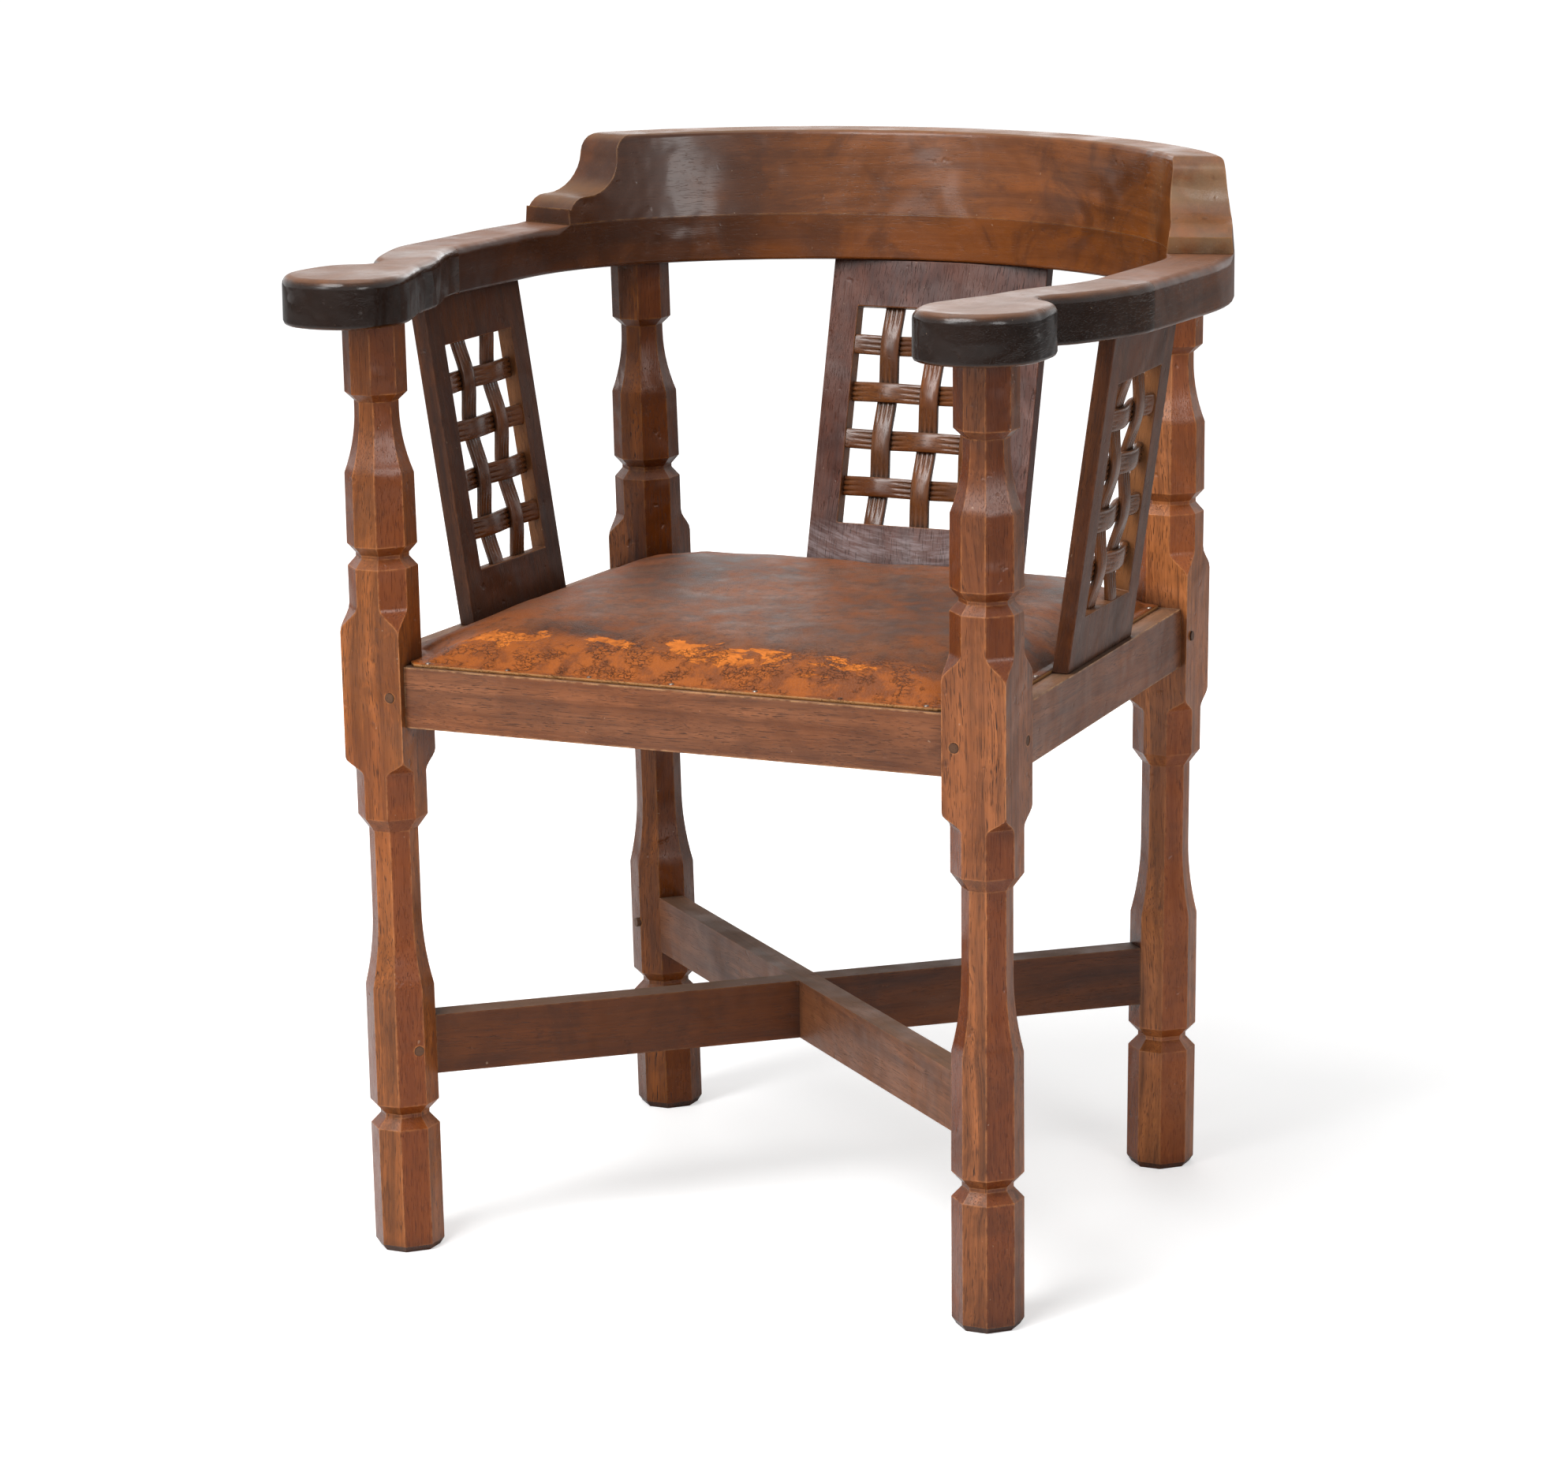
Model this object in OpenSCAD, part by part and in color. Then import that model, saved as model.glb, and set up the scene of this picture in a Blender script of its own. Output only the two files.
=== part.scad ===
// Horseshoe chair of oak: faceted legs, woven lattice panels, a bow of arms with a crest, and a leather seat.
// The floor is z = 0, the front looks along -Y, and the origin is at the middle of the chair's bounding box.

/* [Legs] */
// Width of a leg across its flats
leg_w = 47.4; // [42:0.2:50]
// Distance between the axes of the front legs at the seat rails
front_spread = 465; // [445:1:480]
// Distance between the axes of the rear legs at the seat rails
rear_spread = 431; // [420:1:440]
// Distance between the front and rear leg axes
leg_depth = 390; // [375:1:400]
// Outward lean of the front legs in degrees
front_splay = 0.37; // [0:0.01:0.6]
// Outward lean of the rear legs in degrees
rear_splay = 0.89; // [0:0.01:1.1]
// Share of the width that each corner facet takes off
facet = 0.31; // [0.28:0.01:0.33]
// Height of the bevel round the foot
foot_bevel_h = 5; // [3:0.5:10]
// Depth of the bevel round the foot
foot_bevel = 3; // [1:0.5:5]
// Height of the foot block
foot_h = 93; // [80:1:100]
// Height of the groove over the foot
foot_groove_h = 18; // [12:1:22]
// Width left at the bottom of that groove
foot_groove_w = 33.7; // [30:0.1:38]
// Height of the faceted block that holds the stretchers
block_h = 86; // [80:1:92]
// Height of the hollow sweep over that block
low_sweep_h = 57; // [45:1:60]
// Width of the neck under the collar
low_neck_w = 33.4; // [30:0.1:38]
// Height of the collar under the square block
collar_h = 32; // [24:1:38]
// Height of the bevel under the collar
collar_bevel_h = 10; // [5:0.5:14]
// Height of the rounded stops where facets run into the square block
low_stop_h = 13; // [8:0.5:18]
// How far the square block reaches below the seat rails
square_below = 24; // [18:1:30]
// How far the square block reaches above the seat rails
square_above = 23.5; // [16:0.5:28]
// Height of the lamb's-tongue stops over the square block
tongue_stop_h = 19; // [12:0.5:24]
// Height of the faceted ring over the stops
ring_h = 27; // [20:1:34]
// Height of the groove over the ring
mid_groove_h = 16; // [10:0.5:20]
// Width left at the bottom of that groove
mid_groove_w = 36; // [32:0.2:40]
// Height of the faceted bulb
bulb_h = 50; // [40:1:56]
// Height of the hollow sweep over the bulb
high_sweep_h = 47; // [36:1:52]
// Width of the neck under the top collar
high_neck_w = 30; // [26:0.2:34]
// Height of the straight part of that neck
high_neck_h = 6; // [2:0.5:9]
// Height of the bevel under the top collar
top_bevel_h = 6; // [3:0.5:8]
// Width of the top collar
top_w = 42.2; // [38:0.2:43]
// Diameter of the round tenon on a leg's top
leg_tenon_d = 20; // [16:1:22]
// Length of that tenon
leg_tenon_l = 22; // [12:1:26]

/* [Seat frame] */
// Height of the top of the seat rails over the floor
rail_top = 438; // [430:1:445]
// Height of a seat rail
rail_h = 44; // [38:1:50]
// Thickness of a seat rail
rail_t = 22; // [20:1:25]
// How far a rail's outer face lies behind the legs' faces
rail_inset = 5.5; // [3:0.5:7]
// Thickness of a rail tenon
tenon_t = 8; // [6:0.5:9]
// Height of a rail tenon
tenon_h = 30; // [22:1:34]
// Gap from a tenon's end to the leg's axis
tenon_stop = 4.5; // [4:0.5:6]
// Diameter of the pegs through the rail tenons
peg_d = 7; // [5:0.5:8]
// Distance of a rail peg from the leg's axis
peg_in = 14.5; // [12:0.5:17]
// How far a peg stands proud
peg_proud = 0.5; // [0.2:0.1:1]

/* [Stretchers] */
// Height of the stretchers' lower edge over the floor
stretcher_z = 130; // [124:1:136]
// Height of a stretcher
stretcher_h = 44; // [36:1:48]
// Thickness of a stretcher
stretcher_t = 19; // [16:0.5:20]
// Distance of a stretcher peg from the leg's axis
stretcher_peg_in = 9; // [8:0.5:11]
// Diameter of the two nails at the crossing
cross_nail_d = 3; // [2:0.25:4]

/* [Arms and bow] */
// Height of the arms' underside over the seat rails, at the middle of the legs
arm_rise = 242; // [234:1:252]
// Fall of the arms towards the back in degrees
arm_slope = 1.1; // [0:0.1:1.5]
// Thickness of the arms and the bow
arm_t = 35; // [30:1:38]
// Width of the bow
bow_w = 48; // [44:1:52]
// Distance of the bow's middle line from the centre at the sides
bow_side = 274; // [268:1:280]
// Radius of the bow's middle line at its corners
bow_corner_r = 202; // [190:1:215]
// Angle through which each corner turns
bow_turn = 40; // [36:1:44]
// How far behind the leg centre the corners start
bow_corner_y = 50; // [40:1:56]
// How far in front of the leg centre the arms are spliced on
splice_y = 55; // [50:1:60]
// Turn of the horseshoe over the legs in degrees, with its back to the right
bow_yaw = 1.4; // [0:0.1:1.5]
// Shift of the horseshoe to the right over the legs
bow_shift = 7; // [0:0.5:7.5]
// How far the arms reach in front of the leg centre
arm_reach = 270; // [262:1:280]
// Width of the round paddle at an arm's front end
paddle_w = 88; // [78:1:92]
// Distance of the paddle's middle from the centre
paddle_x = 243.5; // [238:0.5:248]
// Width of the arm at its waist behind the paddle
waist_w = 43; // [38:1:48]
// Radius of the arms' top edges
top_round = 7; // [3:0.5:9]
// Radius of the arms' lower edges
low_round = 3; // [1:0.5:5]

/* [Crest] */
// Angle on the bow's corner at which the crest starts
crest_start = 16.5; // [10:0.5:18]
// Thickness of the crest along its top
crest_top_t = 36; // [28:1:38]
// How far the crest's inner face leans back
crest_lean = 7; // [0:0.5:9]
// Height of the small block at a crest end
step_h = 12; // [8:0.5:14]
// Length of the rounded shoulder over that block
shoulder_l = 18; // [14:0.5:22]
// Height of that shoulder
shoulder_h = 8; // [5:0.5:10]
// Radius of the hollow sweep of a crest end
cove_r = 29; // [24:0.5:32]
// Radius of the round top corner of a crest end
lip_r = 14; // [8:0.5:16]
// Radius along the crest's top edges
crest_round = 4; // [2:0.5:7]
// Diameter of the dowels between bow and crest
dowel_d = 10; // [8:0.5:12]
// Length of those dowels
dowel_l = 36; // [26:1:42]

/* [Lattice panels] */
// Thickness of a panel
panel_t = 12; // [10:0.5:13]
// Width of the side panels
side_panel_w = 137; // [130:1:142]
// How far the side panels' middle lies in front of the rails' middle
side_panel_shift = 1; // [0:1:4]
// Outward lean of the side panels in degrees
side_lean = 8.5; // [6:0.5:9]
// How far the back panel's middle lies to the right
back_panel_shift = 4.5; // [0:0.5:6]
// Width of the back panel
back_panel_w = 177; // [170:1:186]
// Backward lean of the back panel in degrees
back_lean = 15.4; // [14:0.2:16]
// How far a panel's outer face lies behind the rail's outer face
panel_inset = 4; // [3:0.5:5]
// Distance from one strip of the weave to the next
pitch = 36.5; // [34:0.5:38]
// Width of a strip
strip_w = 15; // [12:0.5:17]
// Thickness of a strip
strip_t = 5.6; // [4.5:0.1:6.5]
// How far the strips bend to either side
weave = 2.3; // [1.5:0.1:2.6]
// Rows of holes in a panel
rows = 5; // [4:1:5]
// Columns of holes in a side panel
side_columns = 3; // [2:1:3]
// Columns of holes in the back panel
back_columns = 4; // [3:1:4]
// Height of the lattice's lower edge over the seat rails
lattice_z = 37; // [30:1:44]
// Height of the tongue along a panel's lower and upper edge
tongue_h = 6; // [4:0.5:8]
// Thickness of that tongue
tongue_t = 5; // [4:0.5:6]

/* [Seat] */
// Height of the crown of the leather over its edge
crown = 24; // [18:1:34]
// Thickness of the leather
leather_t = 2.5; // [2:0.1:3.5]
// Distance from the front rail's face to the leather's edge
leather_inset = 4; // [2:0.5:8]
// How steeply the leather rises from its edge
roll = 8; // [5:1:12]
// Width of a webbing strap
strap_w = 50; // [40:1:54]
// Thickness of a webbing strap
strap_t = 1.6; // [1.2:0.1:2.2]
// Number of straps each way
straps = 4; // [3:1:5]
// How far a strap's end turns down the rail
strap_drop = 16; // [10:1:24]
// Diameter of a webbing tack's head
tack_d = 5; // [4:0.5:6]
// Distance from one leather nail to the next
nail_pitch = 58; // [48:1:70]
// Diameter of a leather nail's head
nail_d = 4; // [3:0.5:5]

/* [Hidden] */

// Clearance of a tenon, tongue or dowel on each side
fit = 0.15;
// Side of the square shank of a nail or tack
nail_shank = 1.2;
// Depth of a leather nail in the rail
nail_depth = 5;
// Depth of a webbing tack in the rail
tack_depth = 8;
// Clearance at the end of a blind hole
end_gap = 0.5;
// Length that is surely more than any piece
big = 1000;

rail_mid = rail_top - rail_h / 2;
arm_z = rail_top + arm_rise;
legs = [[-front_spread, -leg_depth] / 2, [front_spread, -leg_depth] / 2,
    [rear_spread, leg_depth] / 2, [-rear_spread, leg_depth] / 2];
splay = [-front_splay, front_splay, rear_splay, -rear_splay];
rail_out = leg_w / 2 - rail_inset;
rail_off = rail_out - rail_t / 2;
diagonal = leg_w * (1 - facet) / sqrt(2);

// Bow: a corner arc each side and a back arc that meets both on one tangent
corner_x = bow_side - bow_corner_r;
back_r = bow_corner_r + corner_x / cos(bow_turn);
back_y = bow_corner_y - (back_r - bow_corner_r) * sin(bow_turn);
bow_back = back_y + back_r + bow_w / 2;
crest_h = step_h + shoulder_h + cove_r + lip_r + 1;
// The model is moved so that the origin lies under the middle of its box
plan_x = -bow_shift;
plan_y = (arm_reach + paddle_x * sin(bow_yaw) - bow_back) * cos(arm_slope) / 2 - arm_t * sin(arm_slope) / 2;

function mid(a, b) = (a + b) / 2;
function heading(a, b) = atan2(b[1] - a[1], b[0] - a[0]);
function flip(points) = [for (i = [len(points) - 1 : -1 : 0]) points[i]];

// Points of a curve that runs smoothly through the given points, n to each stretch
function through(p, n) = [
    for (i = [0 : len(p) - 2]) for (k = [0 : n - 1])
        let (t = k / n, a = p[max(i - 1, 0)], b = p[i], c = p[i + 1], d = p[min(i + 2, len(p) - 1)])
            b + t * (c - a) / 2 + t * t * (a - 2.5 * b + 2 * c - d / 2)
                + t * t * t * (1.5 * b - a / 2 - 1.5 * c + d / 2),
    p[len(p) - 1]];

// A path moved by d to its left
function inset(p, d) = let (last = len(p) - 1) [
    for (i = [0 : last])
        let (a = i > 0 ? i - 1 : 0, c = i < last ? i : last - 1,
            u = (p[a + 1] - p[a]) / norm(p[a + 1] - p[a]), v = (p[c + 1] - p[c]) / norm(p[c + 1] - p[c]),
            w = u + v, s = norm(w))
                p[i] + d * [-w[1], w[0]] / s / max(s / 2, 0.5)];

// Closed skin through rings of equal length, each anticlockwise from above; the first one is closed
// with a face that looks down and the last one with a face that looks up. Where a ring has a waist, those
// two are laid in strips between its two sides, so that no strip leaves the outline.
module skin(rings, waisted = false) {
    n = len(rings[0]);
    m = len(rings);
    strips = waisted ? [for (i = [0 : ceil(n / 2) - 2]) let (c = n - 2 - i)
        i + 1 == c ? [i, i + 1, c + 1] : [i, i + 1, c, c + 1]] : [[for (i = [0 : n - 1]) i]];
    polyhedron(
        points = [for (r = rings) each r],
        faces = [
            each strips,
            for (j = [0 : m - 2]) for (i = [0 : n - 1])
                let (a = j * n + i, b = j * n + (i + 1) % n) each [[a, a + n, b], [b, a + n, b + n]],
            for (s = strips) [for (k = [len(s) - 1 : -1 : 0]) (m - 1) * n + s[k]]]);
}

// A leg is described by rows of height, width across the flats, and squareness of its corners
foot_top = foot_h + foot_groove_h;
sweep_z = foot_top + block_h;
collar_z = rail_top - rail_h - square_below - low_stop_h - collar_h;
square_z = rail_top - rail_h - square_below;
tongue_z = rail_top + square_above;
groove_z = tongue_z + tongue_stop_h + ring_h;
bulb_z = groove_z + mid_groove_h;
high_sweep_z = bulb_z + bulb_h;
top_z = high_sweep_z + high_sweep_h + high_neck_h + top_bevel_h;
leg_end = arm_z + leg_depth * sin(arm_slope) + arm_t;

function sweep(z, h, w0, w1) = [for (t = [0.02 : 0.14 : 1]) [z + h * t, w1 + (w0 - w1) * pow(1 - t, 2), 0]];
function stop_rows(z, h, from, to) = [
    for (t = [0 : 0.2 : 1]) [z + h * t, leg_w, from + (to - from) * (1 - cos(180 * t)) / 2]];
function notch(z, h, w, side) = [
    [z, side, 0], [z + h * 0.42, w, 0], [z + h * 0.58, w, 0], [z + h, side, 0]];

leg_rows = [
    [-2, leg_w - 2 * foot_bevel, 0],
    [0, leg_w - 2 * foot_bevel, 0],
    [foot_bevel_h, leg_w, 0],
    each notch(foot_h, foot_groove_h, foot_groove_w, leg_w),
    each sweep(sweep_z, low_sweep_h, leg_w, low_neck_w),
    [collar_z - collar_bevel_h, low_neck_w, 0],
    [collar_z, leg_w, 0],
    each stop_rows(square_z - low_stop_h, low_stop_h, 0, 1),
    each stop_rows(tongue_z, tongue_stop_h, 1, 0),
    each notch(groove_z, mid_groove_h, mid_groove_w, leg_w),
    each sweep(high_sweep_z, high_sweep_h, leg_w, high_neck_w),
    [top_z - top_bevel_h, high_neck_w, 0],
    [top_z, top_w, 0],
    [leg_end, top_w, 0]];

function flat_side(rows) = [for (r = rows) [r[1] / 2, r[0]]];
// The facets' foot bevel ends a little lower than that of the flats, so that no four faces meet in one point
bevel_step = 0.3;
function facet_side(rows) = [for (r = rows)
    [r[1] * (1 - facet * (1 - r[2])) / sqrt(2), r[0] - (r[0] == foot_bevel_h ? bevel_step : 0)]];
// The corner towards the seat keeps its facet above the rails, where the leather passes it
function seat_side(rows) = [
    for (r = facet_side([for (s = rows) if (s[0] < rail_top) s])) r,
    [leg_w / sqrt(2), rail_top], [diagonal, rail_top],
    for (r = facet_side([for (s = rows) if (s[0] > rail_top) [s[0], s[1], 0]])) r];

// A slice of leg that has the given outline on both sides and runs through everywhere else
module profile(right, left) {
    rotate([90, 0, 0])
        linear_extrude(height = 2 * leg_w, center = true)
            polygon(concat(right, [for (p = flip(left)) [-p[0], p[1]]]));
}

module leg_shape() {
    intersection() {
        profile(flat_side(leg_rows), flat_side(leg_rows));
        rotate([0, 0, 90]) profile(flat_side(leg_rows), flat_side(leg_rows));
        rotate([0, 0, 45]) profile(seat_side(leg_rows), facet_side(leg_rows));
        rotate([0, 0, 135]) profile(facet_side(leg_rows), facet_side(leg_rows));
    }
}

// Puts its children at leg i, which leans about the middle of the seat rails
module at_leg(i) {
    translate([legs[i][0], legs[i][1], rail_mid])
        rotate([0, splay[i], 0])
            translate([0, 0, -rail_mid]) children();
}

// Puts its children on the line from one leg to another, which runs along their X
module between(i, j) {
    m = mid(legs[i], legs[j]);
    translate([m[0], m[1], 0]) rotate([0, 0, heading(legs[i], legs[j])]) children();
}

// Puts its children in the frame of the arms, whose underside is z = 0 there
module arm_frame() {
    translate([bow_shift, 0, arm_z]) rotate([-arm_slope, 0, 0]) rotate([0, 0, -bow_yaw]) children();
}

module above_arm() {
    arm_frame() translate([-big / 2, -big / 2, 0]) cube([big, big, big]);
}

// Places on the chair everything that is made round the middle of the legs
module chair() {
    translate([plan_x, plan_y, 0]) children();
}

function span(i, j) = norm(legs[j] - legs[i]);

// Rails: i is the leg where a rail starts, and the next leg anticlockwise is where it ends
module rail_tenon(i, grow) {
    between(i, (i + 1) % 4)
        translate([0, -rail_off, rail_mid])
            cube([span(i, (i + 1) % 4) - 2 * tenon_stop + (grow > 0 ? 2 * end_gap : 0),
                tenon_t + 2 * grow, tenon_h + 2 * grow], center = true);
}

module rail_peg(i, side, grow) {
    l = span(i, (i + 1) % 4) / 2 - peg_in;
    between(i, (i + 1) % 4)
        translate([side * l, tenon_stop + (grow > 0 ? end_gap : 0), rail_mid])
            rotate([90, 0, 0])
                cylinder(d = peg_d + 2 * grow,
                    h = leg_w / 2 + tenon_stop + peg_proud + (grow > 0 ? big : 0), $fn = 24);
}

module seat_rail(i) {
    j = (i + 1) % 4;
    color("saddlebrown") chair() difference() {
        union() {
            difference() {
                between(i, j)
                    translate([-span(i, j) / 2, -rail_out, rail_top - rail_h])
                        cube([span(i, j), rail_t, rail_h]);
                for (k = [i, j]) at_leg(k)
                    translate([0, 0, rail_mid]) cube([leg_w, leg_w, 2 * rail_h], center = true);
            }
            rail_tenon(i, 0);
        }
        for (side = [-1, 1]) rail_peg(i, side, fit);
        if (i > 0) panel_tongue_low(i, fit);
        for (p = nail_rows[i]) translate([p[0], p[1], rail_top]) nail(fit);
        for (s = i % 2 == 0 ? long_straps : cross_straps) on_strap(s) strap_tacks(s[1], fit);
    }
}

// Stretchers: 0 runs from front left to rear right, 1 from front right to rear left
module stretcher_bar(i, grow) {
    between(i, i + 2)
        translate([0, 0, stretcher_z + stretcher_h / 2])
            cube([span(i, i + 2), stretcher_t + 2 * grow, stretcher_h], center = true);
}

module stretcher_tenon(i, grow) {
    between(i, i + 2)
        translate([0, 0, stretcher_z + stretcher_h / 2])
            cube([span(i, i + 2) - 2 * tenon_stop + (grow > 0 ? 2 * end_gap : 0),
                tenon_t + 2 * grow, tenon_h + 2 * grow], center = true);
}

module stretcher_peg(i, side, grow) {
    l = span(i, i + 2) / 2 - stretcher_peg_in;
    out = side < 0 ? 1 : -1;
    between(i, i + 2)
        translate([side * l, out * (tenon_t + (grow > 0 ? end_gap : 0)), stretcher_z + stretcher_h / 2])
            rotate([out * 90, 0, 0])
                cylinder(d = peg_d + 2 * grow,
                    h = diagonal + tenon_t + peg_proud + (grow > 0 ? big : 0), $fn = 24);
}

module crossing_nail(k, grow) {
    cross_y = legs[0][1] - (legs[2][1] - legs[0][1]) * legs[0][0] / (legs[2][0] - legs[0][0]);
    translate([0, cross_y, stretcher_z + stretcher_h * (k + 1) / 5])
        rotate([0, 0, heading(legs[1], legs[3])])
            translate([stretcher_t * 0.9, stretcher_t / 2 + 0.4 + (grow > 0 ? big : 0), 0])
                rotate([90, 0, 0])
                    cylinder(d = cross_nail_d + 2 * grow, h = 14 + (grow > 0 ? big + end_gap : 0), $fn = 16);
}

module stretcher(i) {
    half = stretcher_h / 2;
    color("saddlebrown") chair() difference() {
        union() {
            difference() {
                stretcher_bar(i, 0);
                for (k = [i, i + 2]) at_leg(k) intersection() {
                    translate([0, 0, stretcher_z + half])
                        cube([leg_w, leg_w, 2 * stretcher_h], center = true);
                    translate([0, 0, stretcher_z + half])
                        rotate([0, 0, 45]) cube([2 * diagonal, 2 * diagonal, 2 * stretcher_h], center = true);
                }
                intersection() {
                    stretcher_bar(1 - i, fit);
                    translate([-big / 2, -big / 2, i == 0 ? stretcher_z + half : stretcher_z - half])
                        cube([big, big, 2 * half]);
                }
            }
            difference() {
                stretcher_tenon(i, 0);
                stretcher_bar(1 - i, fit);
            }
        }
        for (side = [-1, 1]) stretcher_peg(i, side, fit);
        if (i == 1) for (k = [0, 1]) crossing_nail(k, fit);
    }
}

module leg(i) {
    color("sienna") chair() difference() {
        union() {
            difference() {
                at_leg(i) rotate([0, 0, 90 * i]) leg_shape();
                above_arm();
            }
            at_leg(i) leg_tenon(i, 0);
        }
        translate([-big / 2, -big / 2, -big]) cube([big, big, big]);
        rail_tenon(i, fit);
        rail_tenon((i + 3) % 4, fit);
        rail_peg(i, -1, fit);
        rail_peg((i + 3) % 4, 1, fit);
        stretcher_tenon(i % 2, fit);
        stretcher_peg(i % 2, i < 2 ? -1 : 1, fit);
    }
}

// Round tenon of leg i in the leg's own frame, from inside the top collar into the arm
function arm_under(i) = arm_z - legs[i][1] * sin(arm_slope);
module leg_tenon(i, grow) {
    translate([0, 0, arm_under(i) - 5])
        cylinder(d = leg_tenon_d + 2 * grow, h = leg_tenon_l + 5 + (grow > 0 ? end_gap : 0), $fn = 48);
}

// Path of the bow: each station is a point of its middle line and the direction that points outwards there
function arc_stations(centre, r, a0, a1, step) = let (n = max(1, round((a1 - a0) / step)))
    [for (k = [0 : n]) let (a = a0 + (a1 - a0) * k / n) [centre + r * [cos(a), sin(a)], a]];
function mirrored(stations) = [
    for (k = [len(stations) - 1 : -1 : 0]) [[-stations[k][0][0], stations[k][0][1]], 180 - stations[k][1]]];
corner_centre = [corner_x, bow_corner_y];
back_path = arc_stations([0, back_y], back_r, bow_turn, 180 - bow_turn, 5);
back_middle = [for (k = [1 : len(back_path) - 2]) back_path[k]];
crest_corner = arc_stations(corner_centre, bow_corner_r, crest_start, bow_turn, 4);
edge_fade = 4;
open_side = concat(
    [[[bow_side, -splice_y], 0], [[bow_side, 0], 0]],
    arc_stations(corner_centre, bow_corner_r, 0, crest_start - edge_fade, 4));
crest_path = concat(crest_corner, back_middle, mirrored(crest_corner));
bow_path = concat(open_side, crest_path, mirrored(open_side));

// Sections of bow and crest across the run: u goes outwards from the inner face, v goes up
function arc_points(c, r, a0, a1, n) = [
    for (k = [0 : n]) let (a = a0 + (a1 - a0) * k / n) c + r * [cos(a), sin(a)]];
function bow_section(r) = concat(
    arc_points([low_round, low_round], low_round, 180, 270, 2),
    arc_points([bow_w - low_round, low_round], low_round, 270, 360, 2),
    arc_points([bow_w - r, arm_t - r], r, 0, 90, 4),
    arc_points([r, arm_t - r], r, 90, 180, 4));
function crest_section() = let (r = crest_round, top_in = crest_lean, top_out = crest_lean + crest_top_t)
    [for (p = concat([[0, 0], [bow_w, 0]],
        arc_points([top_out - r, crest_h - r], r, 0, 90, 4),
        arc_points([top_in + r, crest_h - r], r, 90, 180, 4))) [p[0], arm_t + p[1]]];

// Ring of a section at a station, in the frame of the arms
function placed(section, station) = [
    for (p = section) let (u = p[0] - bow_w / 2, a = station[1])
        [station[0][0] + u * cos(a), station[0][1] + u * sin(a), p[1]]];

// The round edges of the bow run out where the crest begins, because both are flush there
function edge_round(station) = min(station[1], 180 - station[1]) < crest_start ? top_round : 0.4;

module both_sides() {
    children();
    mirror([1, 0, 0]) children();
}

module back_bow() {
    color("sienna") chair() difference() {
        arm_frame() skin(flip([for (t = bow_path) placed(bow_section(edge_round(t)), t)]));
        for (i = [2, 3]) at_leg(i) leg_tenon(i, fit);
        for (i = [1 : 3]) panel_tongue_high(i, fit);
        arm_frame() for (k = dowel_places) dowel(k, fit);
        arm_frame() both_sides() splice_tongue(fit);
    }
}

// Plan of the right arm: its inner side from the splice to the waist, the paddle round its middle, and the
// outer side from the waist back to the splice, each point as a share of the sizes that it is stretched to
paddle_r = paddle_w / 2;
waist_inset = 32;
waist_y = -arm_reach + 2.4 * paddle_r;
inner_side = [[0, 0], [0.05, 0.11], [0.22, 0.3], [0.56, 0.52], [0.81, 0.72], [1, 1]];
paddle_side = [[-0.83, 0.73], [-1, 0.14], [-0.88, -0.52], [-0.54, -0.88], [-0.07, -1], [0.43, -0.91],
    [0.76, -0.64], [0.98, -0.23], [1, 0.36], [0.9, 0.86], [0.72, 1.11]];
outer_side = [[-0.03, 0.03], [0.08, 0.14], [0.41, 0.29], [0.78, 0.62], [0.97, 0.87], [1, 1]];
function arm_outline() = let (
    inner = bow_side - bow_w / 2,
    outer = bow_side + bow_w / 2,
    waist_out = inner - waist_inset + waist_w,
    middle = [paddle_x, paddle_r - arm_reach],
    run = waist_y + splice_y)
    concat(
        through(concat(
            [for (p = inner_side) [inner - waist_inset * p[0], run * p[1] - splice_y]],
            [for (p = paddle_side) middle + paddle_r * p],
            [[waist_out + 0.05 * (outer - waist_out), waist_y - 0.05 * paddle_w]]), 3),
        through([for (p = outer_side) [waist_out + (outer - waist_out) * p[0], waist_y - run * p[1]]], 3));

module arm(i) {
    side = i == 0 ? -1 : 1;
    outline = arm_outline();
    rings = [
        for (k = [0 : 2]) let (a = 45 * k) [low_round * (1 - sin(a)), low_round * (1 - cos(a))],
        for (k = [0 : 5]) let (a = 18 * k) [top_round * (1 - cos(a)), arm_t - top_round * (1 - sin(a))]];
    color("sienna") chair() difference() {
        arm_frame() skin([for (r = rings)
            let (path = inset(outline, r[0]), last = len(path) - 1,
                ring = [for (k = [0 : last])
                    [side * path[k][0], k == 0 || k == last ? -splice_y : path[k][1], r[1]]])
                        side < 0 ? flip(ring) : ring], waisted = true);
        at_leg(i) leg_tenon(i, fit);
        arm_frame() both_sides() splice_tongue(fit);
    }
}

// Loose tongue across the splice of the right arm, in the frame of the arms
module splice_tongue(grow) {
    translate([bow_side, -splice_y, arm_t / 2])
        cube([26 + 2 * grow, 36 + (grow > 0 ? 2 * end_gap : 0), 8 + 2 * grow], center = true);
}

// Dowels stand at these angles round the back arc
dowel_places = [55, 78, 102, 125];
module dowel(a, grow) {
    translate([back_r * cos(a), back_y + back_r * sin(a), arm_t - dowel_l / 2 - (grow > 0 ? end_gap : 0)])
        cylinder(d = dowel_d + 2 * grow, h = dowel_l + (grow > 0 ? 2 * end_gap : 0), $fn = 32);
}

// Line of a crest end in its own plane: s runs along the crest, z up from the arm
function crest_end_line() = concat(
    [[0, -1], [0, step_h]],
    arc_points([shoulder_l, step_h - shoulder_l + shoulder_h], shoulder_l, 150, 90, 4),
    arc_points([shoulder_l + 3, step_h + shoulder_h + cove_r], cove_r, 270, 360, 8),
    arc_points([shoulder_l + 3 + cove_r + lip_r, crest_h - lip_r], lip_r, 180, 90, 5));

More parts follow.
